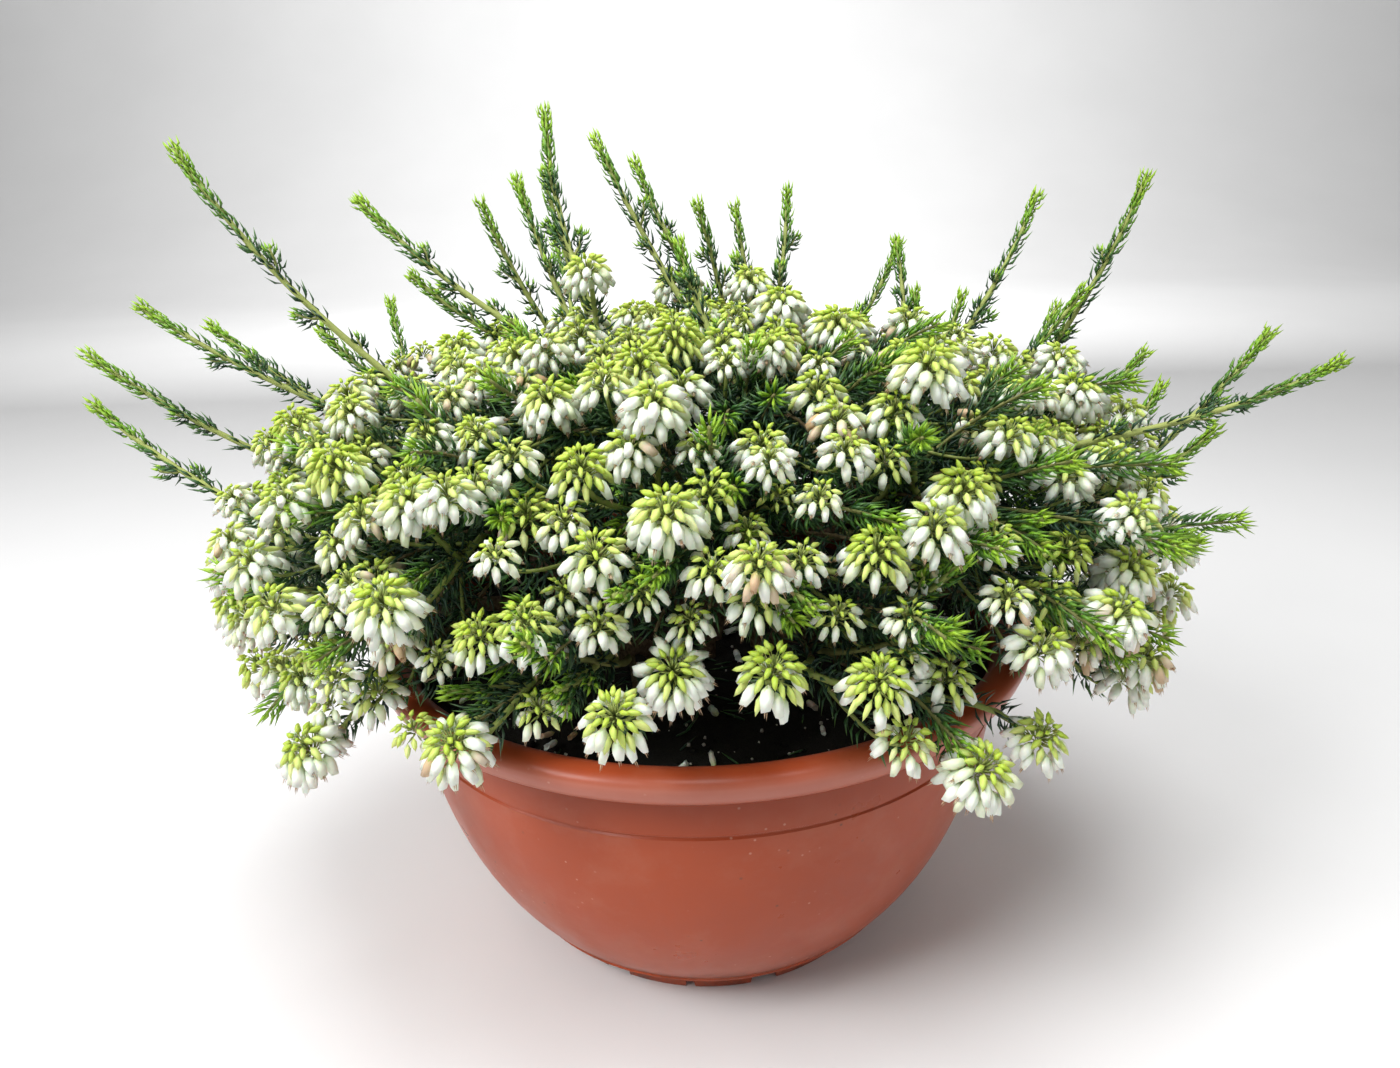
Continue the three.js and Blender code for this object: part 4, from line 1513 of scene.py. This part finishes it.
@dataclass
class FlowerBunch:
    """Heads of nodding bells on a branching stalk."""

    index: int
    bunch: Bunch
    own_axis: float = 0.6
    upright: float = 0.7
    seat_radius: float = 5.4
    seat_rise: float = 6.4
    seat_drop: float = 0.4
    seat_angles: Span = (12.0, 100.0)
    hang_angles: Span = (46.0, 132.0)
    droop: float = 0.7
    unruly: float = 0.15
    closed_heads: float = 0.24
    closed_share: Span = (0.75, 0.97)
    bud_share: Span = (0.36, 0.62)
    fading_heads: float = 0.05
    faded_in_fading: float = 0.45
    faded_elsewhere: float = 0.015
    bud_growth: Span = (0.55, 1.05)
    bud_swelling: Span = (0.70, 1.05)
    open_stage: Span = (0.46, 0.82)
    faded_stage: Span = (0.93, 1.0)
    stamened: float = 0.65
    least_winged: float = 0.87
    rod_width: float = 0.7
    stalk_thick: Span = (1.1, 0.85)
    branch_thick: Span = (0.75, 0.5)
    bell_length: Span = (5.6, 6.6)
    bell_width: Span = (2.9, 3.6)
    bud_length: Span = (5.2, 6.2)
    bud_width: Span = (2.0, 2.5)
    bell: Shape = field(init=False)
    bud: Shape = field(init=False)
    sepals: Shape = field(init=False)
    stamens: Shape = field(init=False)
    rod: Shape = field(init=False)

    def __post_init__(self) -> None:
        """Makes the shapes that all florets are copies of."""
        self.bell = Shape.turned(((0.44, 0.24), (0.48, 0.58), (0.31, 1.0), (0.16, 0.86)), 5, 0.06)
        self.bell.points[-2, 2] = 0.0
        self.bud = Shape.turned(((0.5, 0.34), (0.36, 0.72)), 4)
        self.bud.points[-2, 2] = 0.0
        self.bud.points[-1, 2] = 1.0
        leaf = double_cone(0.30, 0.16)
        thread = double_cone(0.55, 0.045)
        self.rod = double_cone(0.5, 0.5)
        self.sepals = self._ringed(leaf, 3, 0.16, 0.30, 0.66, 0.04)
        self.stamens = self._ringed(thread, 3, 0.07, 0.04, 0.52, 0.74)

    @staticmethod
    def _ringed(shape: Shape, count: int, radius: float, splay: float, long: float, height: float) -> Shape:
        """Sets copies of a shape in a ring.

        Args:
            shape: The shape.
            count: How many copies.
            radius: The ring's radius.
            splay: How far out their tips stand.
            long: Their length.
            height: The ring's height.

        Returns:
            All copies as one shape.
        """
        copies = []
        for i in range(count):
            angle = 2 * math.pi * (i + 0.5) / count
            points = shape.points * [1.0, 1.0, long * (1 + 0.16 * (i % 2))]
            outward = radius + splay * shape.points[:, 2] * (1.5 - shape.points[:, 2])
            points[:, 0] += outward * math.cos(angle)
            points[:, 1] += outward * math.sin(angle)
            points[:, 2] += height
            copies.append(Shape(points, shape.faces, shape.along))
        return Shape.joined(copies)

    def head(self, parts: MeshParts, head: Head) -> None:
        """Adds one head: buds at its top, bells that hang like a skirt below them.

        Args:
            parts: Takes its florets.
            head: The head.
        """
        rng = np.random.default_rng(5000 + head.seed)
        number = round(head.florets * head.size)
        order = (np.arange(number) + 0.5) / number
        axis = unit(head.axis * self.own_axis + UP * self.upright)
        base = frames_along(axis[None], np.zeros(1))[0]
        around = (head.turn + GOLDEN_ANGLE * np.arange(number))[:, None]
        radial = np.cos(around) * base[:, 0] + np.sin(around) * base[:, 1]
        seat_angle = np.radians(between(self.seat_angles, order))[:, None]
        seat = head.at + head.size * (
            self.seat_radius * np.sin(seat_angle) * radial
            + (self.seat_rise * np.cos(seat_angle) - self.seat_drop) * axis
        )
        hang = np.radians(between(self.hang_angles, order**0.5))[:, None]
        direction = np.sin(hang) * radial + np.cos(hang) * axis - UP * (self.droop * order[:, None])
        direction = unit(direction + rng.normal(0, self.unruly, (number, 3)))
        ripe = rng.uniform()
        bud_share = rng.uniform(*(self.bud_share if ripe > self.closed_heads else self.closed_share))
        is_bell = order + rng.normal(0, 0.11, number) > bud_share
        grown = np.clip(order / bud_share, 0, 1)
        length, bud = rng.uniform(*self.bell_length, number), rng.uniform(*self.bud_length, number)
        length = head.size * np.where(is_bell, length, bud * between(self.bud_growth, grown))
        width, bud = rng.uniform(*self.bell_width, number), rng.uniform(*self.bud_width, number)
        width = head.size * np.where(is_bell, width, bud * between(self.bud_swelling, grown))
        stage, bud = rng.uniform(*self.open_stage, number), rng.uniform(-0.05, 0.08, number)
        stage = np.where(is_bell, stage, 0.30 * grown**2 + bud)
        share = self.faded_in_fading if rng.uniform() < self.fading_heads else self.faded_elsewhere
        faded = is_bell & (rng.uniform(0, 1, number) < share)
        stage = np.where(faded, rng.uniform(*self.faded_stage, number), stage)
        frames = frames_along(direction, rng.uniform(0, 6.28, number))
        sizes = np.stack([width, width, length], axis=1)
        for shape, chosen in ((self.bell, is_bell), (self.bud, ~is_bell)):
            parts.stamp(shape, seat[chosen], frames[chosen], sizes[chosen], FlowerPart.PETAL, stage[chosen])
        winged = is_bell & (head.size > self.least_winged)
        parts.stamp(self.sepals, seat[winged], frames[winged], sizes[winged], FlowerPart.SEPAL, stage[winged])
        opened = is_bell & (rng.uniform(0, 1, number) < self.stamened)
        tints = rng.uniform(0, 1, number)
        threads = (seat[opened], frames[opened], sizes[opened])
        parts.stamp(self.stamens, *threads, FlowerPart.ANTHER, tints[opened])
        hub = head.at + axis * (head.size * (1.5 - 3.5 * order[:, None]))
        link = seat - hub
        distance = np.linalg.norm(link, axis=1)
        thin = np.full(number, self.rod_width)
        rods = np.stack([thin, thin, distance + 0.5], axis=1)
        parts.stamp(self.rod, hub, frames_along(unit(link), np.zeros(number)), rods, FlowerPart.STALK, stage)

    def build(self, finishes: Sequence[bpy.types.Material]) -> bpy.types.Object:
        """Builds the piece.

        Args:
            finishes: Petal, sepal, anther and stalk materials.

        Returns:
            The object.
        """
        parts = MeshParts()
        for head in (*self.bunch.heads, *self.bunch.extra):
            self.head(parts, head)
        main = len(self.bunch.heads)
        for i, stalk in enumerate(self.bunch.stalks):
            thick = self.stalk_thick if i < main else self.branch_thick
            parts.tube(stalk, thick, 5, FlowerPart.STALK, 0.5)
        name = f"flower_bunch_{self.index + 1:02d}"
        made = parts.build(f"{name}_fine", finishes)
        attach(made, BODY)
        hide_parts(name)
        return made


@dataclass(frozen=True)
class TwigShell:
    """A layer of twigs that end at about the same share of the dome, within a sector of it."""

    count: int
    shares: Span
    kinds: tuple[ShootKind, ...]
    seed: int
    sector: Span = (-180.0, 180.0)


@dataclass
class Thicket:
    """Adds the twigs and smaller heads that make the dome dense."""

    layout: PlantLayout
    keeper: Keeper
    shells: tuple[TwigShell, ...] = (
        TwigShell(120, (0.46, 0.74), (ShootKind.DARK,), 100),
        TwigShell(200, (0.78, 0.95), (ShootKind.TWIG, ShootKind.DARK, ShootKind.DARK), 200),
        TwigShell(70, (0.97, 1.06), (ShootKind.TWIG, ShootKind.SHORT), 300),
        TwigShell(90, (1.04, 1.15), (ShootKind.SHORT,), 400, (-72.0, -8.0)),
    )
    twig_sway: float = 6.0
    twig_room: float = 6.0
    fork_span: Span = (0.70, 0.99)
    bend_rise: Span = (4.0, 16.0)
    bend_sway: float = 9.0
    head_tries: int = 1400
    head_spacing: float = 13.2
    head_shares: Span = (0.90, 1.04)
    head_sizes: Span = (0.66, 1.0)
    head_lift: float = 0.5
    stalk_foot: float = 4.0
    stalk_bend: float = 14.0
    stalk_seat: float = 3.0
    rim_space: float = 15.5
    deepest_lean: float = 101.0
    gap_pitch: float = 0.115
    gap_level: float = 0.25

    def _spots(self, count: int, seed: int) -> list[Span]:
        """Spreads directions evenly over the dome.

        Args:
            count: How many.
            seed: Turns the whole set.

        Returns:
            Pairs of turn and lean in degrees.
        """
        bottom = math.cos(math.radians(self.deepest_lean))
        spots = []
        for i in range(count):
            cosine = 1 - (1 - bottom) * (i + 0.5) / count
            spots.append((math.degrees(GOLDEN_ANGLE * i + seed), math.degrees(math.acos(cosine))))
        return spots

    def add_twigs(self) -> int:
        """Gives the stems side twigs that end in and just above the dome.

        Returns:
            How many twigs were added.
        """
        ends = np.array([stem.end for stem in self.layout.stems])
        added = 0
        for shell in self.shells:
            first, last = shell.sector
            for i, (turn, lean) in enumerate(self._spots(shell.count, shell.seed)):
                if not first <= (turn + 180) % 360 - 180 <= last:
                    continue
                key = shell.seed + i
                share = between(shell.shares, draw(key, 61))
                sway = self.twig_sway * (draw(key, 62) - 0.5)
                tip = self.layout.dome_point(turn + sway, lean, share)
                free = self.keeper.clear(tip[None], self.twig_room)[0]
                if tip[2] < self.layout.lowest_place(tip) or not free:
                    continue
                stem = self.layout.stems[int(np.argmin(np.linalg.norm(ends - tip, axis=1)))]
                along = stem.drawn.length * between(self.fork_span, draw(key, 63))
                fork = stem.drawn.at(np.array([along]))[0]
                bend = 0.5 * (fork + tip) + UP * between(self.bend_rise, draw(key, 64))
                bend[:2] += self.bend_sway * np.array([draw(key, 65) - 0.5, draw(key, 66) - 0.5])
                kind = shell.kinds[int(draw(key, 67) * len(shell.kinds))]
                stem.fillers.append((Curve.bezier((fork, bend, tip), 24), kind))
                added += 1
        return added

    def _is_open(self, at: np.ndarray) -> bool:
        """Tells whether a place lies in one of the dome's gaps, where leaves show and no heads grow.

        Args:
            at: The place.

        Returns:
            True inside a gap.
        """
        waves = [math.sin(self.gap_pitch * at[k] + 2.1 * k) for k in range(3)]
        return waves[0] * waves[1] + waves[1] * waves[2] + waves[2] * waves[0] > self.gap_level

    def add_heads(self) -> int:
        """Fills the dome's gaps with smaller heads.

        Returns:
            How many heads were added.
        """
        layout = self.layout
        owners = [bunch for bunch in layout.bunches for _ in bunch.heads]
        places = [head.at for bunch in layout.bunches for head in bunch.heads]
        main = len(places)
        for i, (turn, lean) in enumerate(self._spots(self.head_tries, 1)):
            at = layout.dome_point(turn, lean, between(self.head_shares, draw(i, 71)))
            if self._is_open(at):
                continue
            gaps = np.linalg.norm(np.array(places) - at, axis=1)
            off_rim = np.linalg.norm(layout.rim_point(at) - at) > self.rim_space
            if gaps.min() < self.head_spacing or not off_rim or at[2] < layout.lowest_place(at):
                continue
            bunch = owners[int(np.argmin(gaps))]
            size = between(self.head_sizes, draw(i, 72))
            axis = unit(layout.outward(at) + UP * self.head_lift)
            turned = 6.28 * draw(i, 73)
            bunch.extra.append(Head(at, axis, size, turned, 1000 + i, layout.sizes.side_florets))
            foot = bunch.stalks[0].at(np.array([self.stalk_foot]))[0]
            bend, seat = at - axis * self.stalk_bend, at - axis * self.stalk_seat
            bunch.stalks.append(Curve.bezier((foot, 0.5 * (foot + bend), bend, seat), 16))
            owners.append(bunch)
            places.append(at)
        return len(places) - main


@dataclass
class Bowl:
    """The moulded bowl with its rounded lip, groove, ribs and notched foot."""

    sizes: BowlSizes
    around: int = 168
    notch_edge: float = 0.25

    def _profile(self) -> list[Span]:
        """Draws half of the bowl's section, from the middle underneath round to the middle inside.

        Returns:
            Pairs of radius and height.
        """
        s = self.sizes
        wall = [(s.wall_radius(z), z) for z in np.linspace(14.0, s.groove_height - 2, 16)]
        groove = [(-0.5, 0.0), (0.0, 0.7), (0.5, 0.7), (1.0, 0.0)]
        level = s.groove_height
        cut = [(s.wall_radius(level + dz) - dr * s.groove_step, level + dz) for dz, dr in groove]
        ribs = []
        for z in s.rib_heights:
            wide = s.wall_radius(z) + s.rib_step
            ribs += [(s.wall_radius(z - 1.4) + 0.2, z - 1.4), (wide - 0.1, z - 0.3)]
            ribs += [(wide, z), (s.wall_radius(z + s.rib_step) - 0.1, z + 0.5)]
        under = [(0.0, s.foot_height), (s.foot_inner - 2, s.foot_height)]
        ring = [(s.foot_inner - 0.6, 0.8), (s.foot_inner, 0.0), (s.foot_outer - 0.6, 0.0)]
        side = [(s.foot_outer, 0.6), (s.foot_outer + 0.7, s.foot_height), (s.foot_outer + 1.6, 5.6)]
        return [*under, *ring, *side, *ribs, *wall, *cut, *self._lip(), *self._inside()]

    def _lip(self) -> list[Span]:
        """Draws the rolled lip's section.

        Returns:
            Pairs of radius and height.
        """
        s = self.sizes
        below = [(s.wall_radius(z), z) for z in (94.0, 98.0, 102.0, 104.8)]
        flange = [(104.4, 105.4), (106.0, 105.9), (111.6, 106.5), (112.9, 107.0), (113.7, 108.0)]
        side = [(114.3, 109.6), (114.8, 110.9), (115.0, 112.0), (114.8, 113.2), (114.1, 114.2)]
        top = [(113.0, 114.9), (111.4, 115.35), (109.4, 115.5)]
        inner = [(107.4, 115.1), (105.8, 114.2), (105.0, 113.0)]
        return [*below, *flange, *side, *top, *inner]

    def _inside(self) -> list[Span]:
        """Draws the inner wall's section down to the middle of the floor.

        Returns:
            Pairs of radius and height.
        """
        s = self.sizes
        top = s.curve_height
        wall = []
        for z in (108.0, 103.0, 90.0, 70.0, 52.75, 36.0, s.floor_top + 12):
            flare = max(z - top, 0) * 0.25
            wall.append((min(s.wall_radius(min(z, top)) - s.wall_thickness + flare, 105.0), z))
        return [*wall, (s.floor_edge, s.floor_top), (0.0, s.floor_top)]

    def _angles(self) -> np.ndarray:
        """Spreads sides round the bowl, with extra ones at the notches' edges.

        Returns:
            The angles in radians, rising.
        """
        even = list(np.arange(self.around) * 360 / self.around)
        for turn, width in self.sizes.notches:
            half = math.degrees(width / 2 / self.sizes.foot_outer)
            for edge in (turn - half, turn + half):
                even += [(edge - self.notch_edge) % 360, (edge + self.notch_edge) % 360]
        return np.radians(np.array(sorted(even)))

    def build(self, finish: bpy.types.Material) -> bpy.types.Object:
        """Builds the piece.

        Args:
            finish: The plastic.

        Returns:
            The object.
        """
        profile = np.array(self._profile())
        angles = self._angles()
        radius, height = profile[1:-1, 0], profile[1:-1, 1]
        degrees = np.degrees(angles)
        inside = np.zeros(len(angles), bool)
        for turn, width in self.sizes.notches:
            half = math.degrees(width / 2 / self.sizes.foot_outer)
            inside |= np.abs((degrees - turn + 180) % 360 - 180) < half
        points = np.zeros((len(radius), len(angles), 3))
        points[..., 0] = radius[:, None] * np.cos(angles)
        points[..., 1] = radius[:, None] * np.sin(angles)
        points[..., 2] = height[:, None]
        s = self.sizes
        on_foot = (radius > s.foot_inner - 1) & (radius < s.foot_outer + 0.3) & (height < 1)
        cut = on_foot[:, None] & inside[None]
        points[..., 2] = np.where(cut, np.maximum(points[..., 2], s.notch_height), points[..., 2])
        ends = np.array([[0, 0, profile[0, 1]], [0, 0, profile[-1, 1]]])
        corners = np.vstack([points.reshape(-1, 3), ends])
        parts = MeshParts()
        parts.skin(corners, ring_faces(len(radius), len(angles)))
        made = parts.build("bowl_fine", [finish])
        bpy.context.view_layer.objects.active = made
        made.select_set(True)
        bpy.ops.object.shade_smooth_by_angle(angle=math.radians(38))
        made.select_set(False)
        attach(made, BODY)
        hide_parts("bowl")
        return made


@dataclass
class Soil:
    """Peat with crumbs, pale grit, fallen bells and fallen needles on it."""

    sizes: BowlSizes
    rings: int = 40
    around: int = 128
    gap: float = 0.3
    side_gap: float = 0.35
    waves: int = 26
    first_wave: float = 0.05
    next_wave: float = 0.022
    wave_height: float = 0.42
    edge_reach: float = 85.0
    edge_width: float = 16.0
    edge_drop: float = 1.2
    crumbs: int = 440
    grit: int = 420
    litter: int = 110
    litter_reach: float = 97.0

    def height(self, x: np.ndarray, y: np.ndarray) -> np.ndarray:
        """Finds the height of the soil's surface.

        Args:
            x: Places to the right.
            y: Places to the back.

        Returns:
            The heights.
        """
        waves = np.zeros_like(x)
        for k in range(self.waves):
            fine = self.first_wave + self.next_wave * k
            turn, start = 6.28 * draw(k, 81), 6.28 * draw(k, 82)
            along = x * math.cos(turn) + y * math.sin(turn)
            waves += np.sin(fine * along + start) * self.wave_height / (1 + 0.12 * k)
        edge = np.clip((np.hypot(x, y) - self.edge_reach) / self.edge_width, 0, 1)
        return self.sizes.soil_top - 0.4 + waves - self.edge_drop * edge**2

    def build(self, finishes: Sequence[bpy.types.Material]) -> bpy.types.Object:
        """Builds the piece.

        Args:
            finishes: Peat, grit, petal and needle materials.

        Returns:
            The object.
        """
        s, gap = self.sizes, self.gap
        inside = s.wall_radius(20.0) - s.wall_thickness - gap
        side = [(s.floor_edge - 0.5, s.floor_top + gap), (inside, 20.15)]
        side += [(s.wall_radius(z) - s.wall_thickness - self.side_gap, z) for z in (36.0, 52.75, 75.0, 95.0)]
        edge = s.wall_radius(102.0) - s.wall_thickness - 0.5
        reach = [r for r, _ in side] + list(np.linspace(edge, 1.2, self.rings))
        angles = np.arange(self.around) * 2 * math.pi / self.around
        rows = []
        for k, radius in enumerate(reach):
            x, y = radius * np.cos(angles), radius * np.sin(angles)
            z = np.full(self.around, side[k][1]) if k < len(side) else self.height(x, y)
            rows.append(np.stack([x, y, z], axis=1))
        middle = float(self.height(np.zeros(1), np.zeros(1))[0])
        ends = np.array([[0, 0, s.floor_top + gap], [0, 0, middle]])
        parts = MeshParts()
        parts.skin(np.vstack([*rows, ends]), ring_faces(len(rows), self.around))
        self._scatter(parts)
        made = parts.build("soil_fine", finishes)
        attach(made, BODY)
        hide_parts("soil")
        return made

    def _scatter(self, parts: MeshParts) -> None:
        """Strews crumbs and litter over the surface.

        Args:
            parts: Takes them.
        """
        rng = np.random.default_rng(77)
        lump = Shape.turned(((0.5, 0.1), (0.42, 0.8)), 5)
        mouth = ((0.40, 0.80), (0.47, 1.0), (0.26, 0.8))
        bell = Shape.turned(((0.12, 0.0), (0.40, 0.16), (0.5, 0.46), *mouth), 8, 0.05)
        spike = Shape.turned(((0.3, 0.0), (0.5, 0.35), (0.1, 1.0)), 3)
        kinds = (
            (lump, self.crumbs, SoilPart.PEAT, (0.8, 3.4), (0.7, 1.2)),
            (lump, self.grit, SoilPart.GRIT, (0.5, 1.3), (0.7, 1.1)),
            (bell, self.litter, SoilPart.PETAL, (1.8, 2.8), (1.9, 2.6)),
            (spike, 2 * self.litter, SoilPart.NEEDLE, (0.9, 1.1), (7.0, 9.0)),
        )
        for shape, count, slot, widths, tall in kinds:
            reach = self.litter_reach * np.sqrt(rng.uniform(0, 1, count))
            turn = rng.uniform(0, 2 * math.pi, count)
            x, y = reach * np.cos(turn), reach * np.sin(turn)
            flat = slot in (SoilPart.PETAL, SoilPart.NEEDLE)
            lift = rng.uniform(-0.1, 0.25, count) if flat else rng.normal(0, 0.5, count)
            lying = np.stack([np.cos(turn * 7), np.sin(turn * 7), lift], 1)
            heading = unit(lying if flat else rng.normal(0, 1, (count, 3)))
            width = rng.uniform(*widths, count)
            long = rng.uniform(*tall, count) * (1 if slot == SoilPart.NEEDLE else width)
            z = self.height(x, y) + (0.45 * width if flat else 0.1 * width)
            tints = rng.uniform(0.6, 1.0, count) if slot == SoilPart.PETAL else rng.uniform(0.0, 0.3, count)
            frames = frames_along(heading, turn)
            sizes = np.stack([width, width * rng.uniform(0.7, 1.0, count), long], axis=1)
            parts.stamp(shape, np.stack([x, y, z], 1), frames, sizes, slot, tints)


# Studio


@dataclass(frozen=True)
class Studio:
    """Pale floor, soft lights and the photograph's camera."""

    focal_pixels: float = 980.2
    image_width: float = 1400.0
    sensor: float = 36.0
    pitch: float = 20.07
    roll: float = -1.816
    rim_in_camera: Place = (0.0068, 0.2309, 3.1196)
    rim_radius: float = 0.115
    rim_height: float = 0.1125

    def floor(self) -> bpy.types.Object:
        """Builds the floor, which curves up far behind the object.

        Returns:
            The floor.
        """
        profile = [(-3.0, 0.0), (2.0, 0.0)]
        for k in range(1, 13):
            angle = k / 12 * math.pi / 2
            profile.append((2.0 + 1.5 * math.sin(angle), 1.5 * (1 - math.cos(angle))))
        profile.append((3.5, 5.0))
        points = [(x, y, z) for y, z in profile for x in (-6.0, 6.0)]
        faces = [(2 * k, 2 * k + 1, 2 * k + 3, 2 * k + 2) for k in range(len(profile) - 1)]
        mesh = bpy.data.meshes.new("studio_floor")
        mesh.from_pydata(points, [], faces)
        mesh.shade_smooth()
        tree = Tree("pale_floor", 0.8, 0.2)
        colour = tree.mix(tree.span(tree.noise(3), 0.3, 0.7), (0.80, 0.80, 0.80), (0.77, 0.77, 0.77))
        mesh.materials.append(tree.finish(colour))
        made = bpy.data.objects.new("studio_floor", mesh)
        bpy.context.scene.collection.objects.link(made)
        return made

    def lamp(
        self,
        name: str,
        at: Place,
        size: float,
        power: float,
        target: Place = (0.0, 0.0, 0.15),
    ) -> None:
        """Adds a soft square light.

        Args:
            name: Its name.
            at: Where it stands.
            size: Its side length.
            power: Its power in watts.
            target: What it faces, the plant unless given.
        """
        data = bpy.data.lights.new(name, "AREA")
        data.shape = "SQUARE"
        data.size = size
        data.energy = power
        made = bpy.data.objects.new(name, data)
        made.location = at
        made.rotation_mode = "QUATERNION"
        made.rotation_quaternion = (Vector(target) - Vector(at)).to_track_quat("-Z", "Y")
        bpy.context.scene.collection.objects.link(made)

    def camera(self) -> bpy.types.Object:
        """Adds the camera at the photograph's place.

        Returns:
            The camera.
        """
        data = bpy.data.cameras.new("photo_camera")
        data.sensor_width = self.sensor
        data.lens = self.focal_pixels / self.image_width * self.sensor
        data.dof.use_dof = False
        made = bpy.data.objects.new("photo_camera", data)
        tilt = Euler((math.radians(90 - self.pitch), 0, 0)).to_matrix()
        turn = tilt @ Matrix.Rotation(math.radians(self.roll), 3, "Z")
        x, down, ahead = self.rim_in_camera
        offset = turn @ Vector((x, -down, -ahead)) * self.rim_radius
        made.matrix_world = Matrix.Translation(Vector((0, 0, self.rim_height)) - offset) @ turn.to_4x4()
        bpy.context.scene.collection.objects.link(made)
        bpy.context.scene.camera = made
        return made

    def build(self) -> None:
        """Builds the whole studio."""
        self.floor()
        self.lamp("key_light", (-0.95, -0.62, 1.15), 0.7, 21.0)
        self.lamp("fill_light", (1.3, -0.9, 0.9), 1.4, 3.2)
        self.lamp("top_light", (0.05, -0.1, 1.15), 0.7, 10.5)
        self.lamp("wall_light", (0.0, 1.0, 1.4), 1.6, 60.0, (0.0, 3.5, 1.3))
        world = bpy.data.worlds.new("studio_world")
        world.use_nodes = True
        background = world.node_tree.nodes["Background"]
        background.inputs["Color"].default_value = (1.0, 1.0, 1.0, 1.0)
        background.inputs["Strength"].default_value = 0.24
        bpy.context.scene.world = world
        bpy.context.scene.view_settings.view_transform = "Standard"
        self.camera()


def report(made: bpy.types.Object) -> None:
    """Logs a piece that was built.

    Args:
        made: The piece.
    """
    log.info("%s: %d triangles", made.name, len(made.data.polygons))


def write_sizes() -> None:
    """Updates the scene once the pieces are built."""
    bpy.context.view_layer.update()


def main() -> None:
    """Builds every piece in order and reports each."""
    logging.basicConfig(level=logging.INFO, format="%(name)s %(message)s")
    bowl = BowlSizes()
    keeper = Keeper(bowl)
    layout = PlantLayout(PlantSizes(), bowl)
    thicket = Thicket(layout, keeper)
    log.info("%d twigs and %d filling heads", thicket.add_twigs(), thicket.add_heads())
    petal = PetalFinish().build()
    needle = NeedleFinish().build()
    leaf_finishes = [needle, BarkFinish().build()]
    sepal = PetalFinish("heath_sepal", (0.340, 0.500, 0.045), (0.560, 0.670, 0.190), (0.740, 0.800, 0.500))
    flower_finishes = [
        petal,
        sepal.build(),
        PlainPartFinish("heath_anther", (0.420, 0.240, 0.130), (0.640, 0.480, 0.320)).build(),
        PlainPartFinish("heath_stalk", (0.24, 0.34, 0.07), (0.32, 0.34, 0.10)).build(),
    ]
    for stem in layout.stems:
        own = [bunch for bunch in layout.bunches if bunch.stem is stem]
        report(LeafyStem(stem, own, layout, keeper).build(leaf_finishes))
    for index, bunch in enumerate(layout.bunches):
        report(FlowerBunch(index, bunch).build(flower_finishes))
    report(Bowl(bowl).build(PlasticFinish().build()))
    grit = PlainPartFinish("pale_grit", (0.62, 0.60, 0.54), (0.40, 0.37, 0.32)).build()
    report(Soil(bowl).build([PeatFinish().build(), grit, petal, needle]))
    Studio().build()
    write_sizes()


if __name__ == "__main__":
    main()
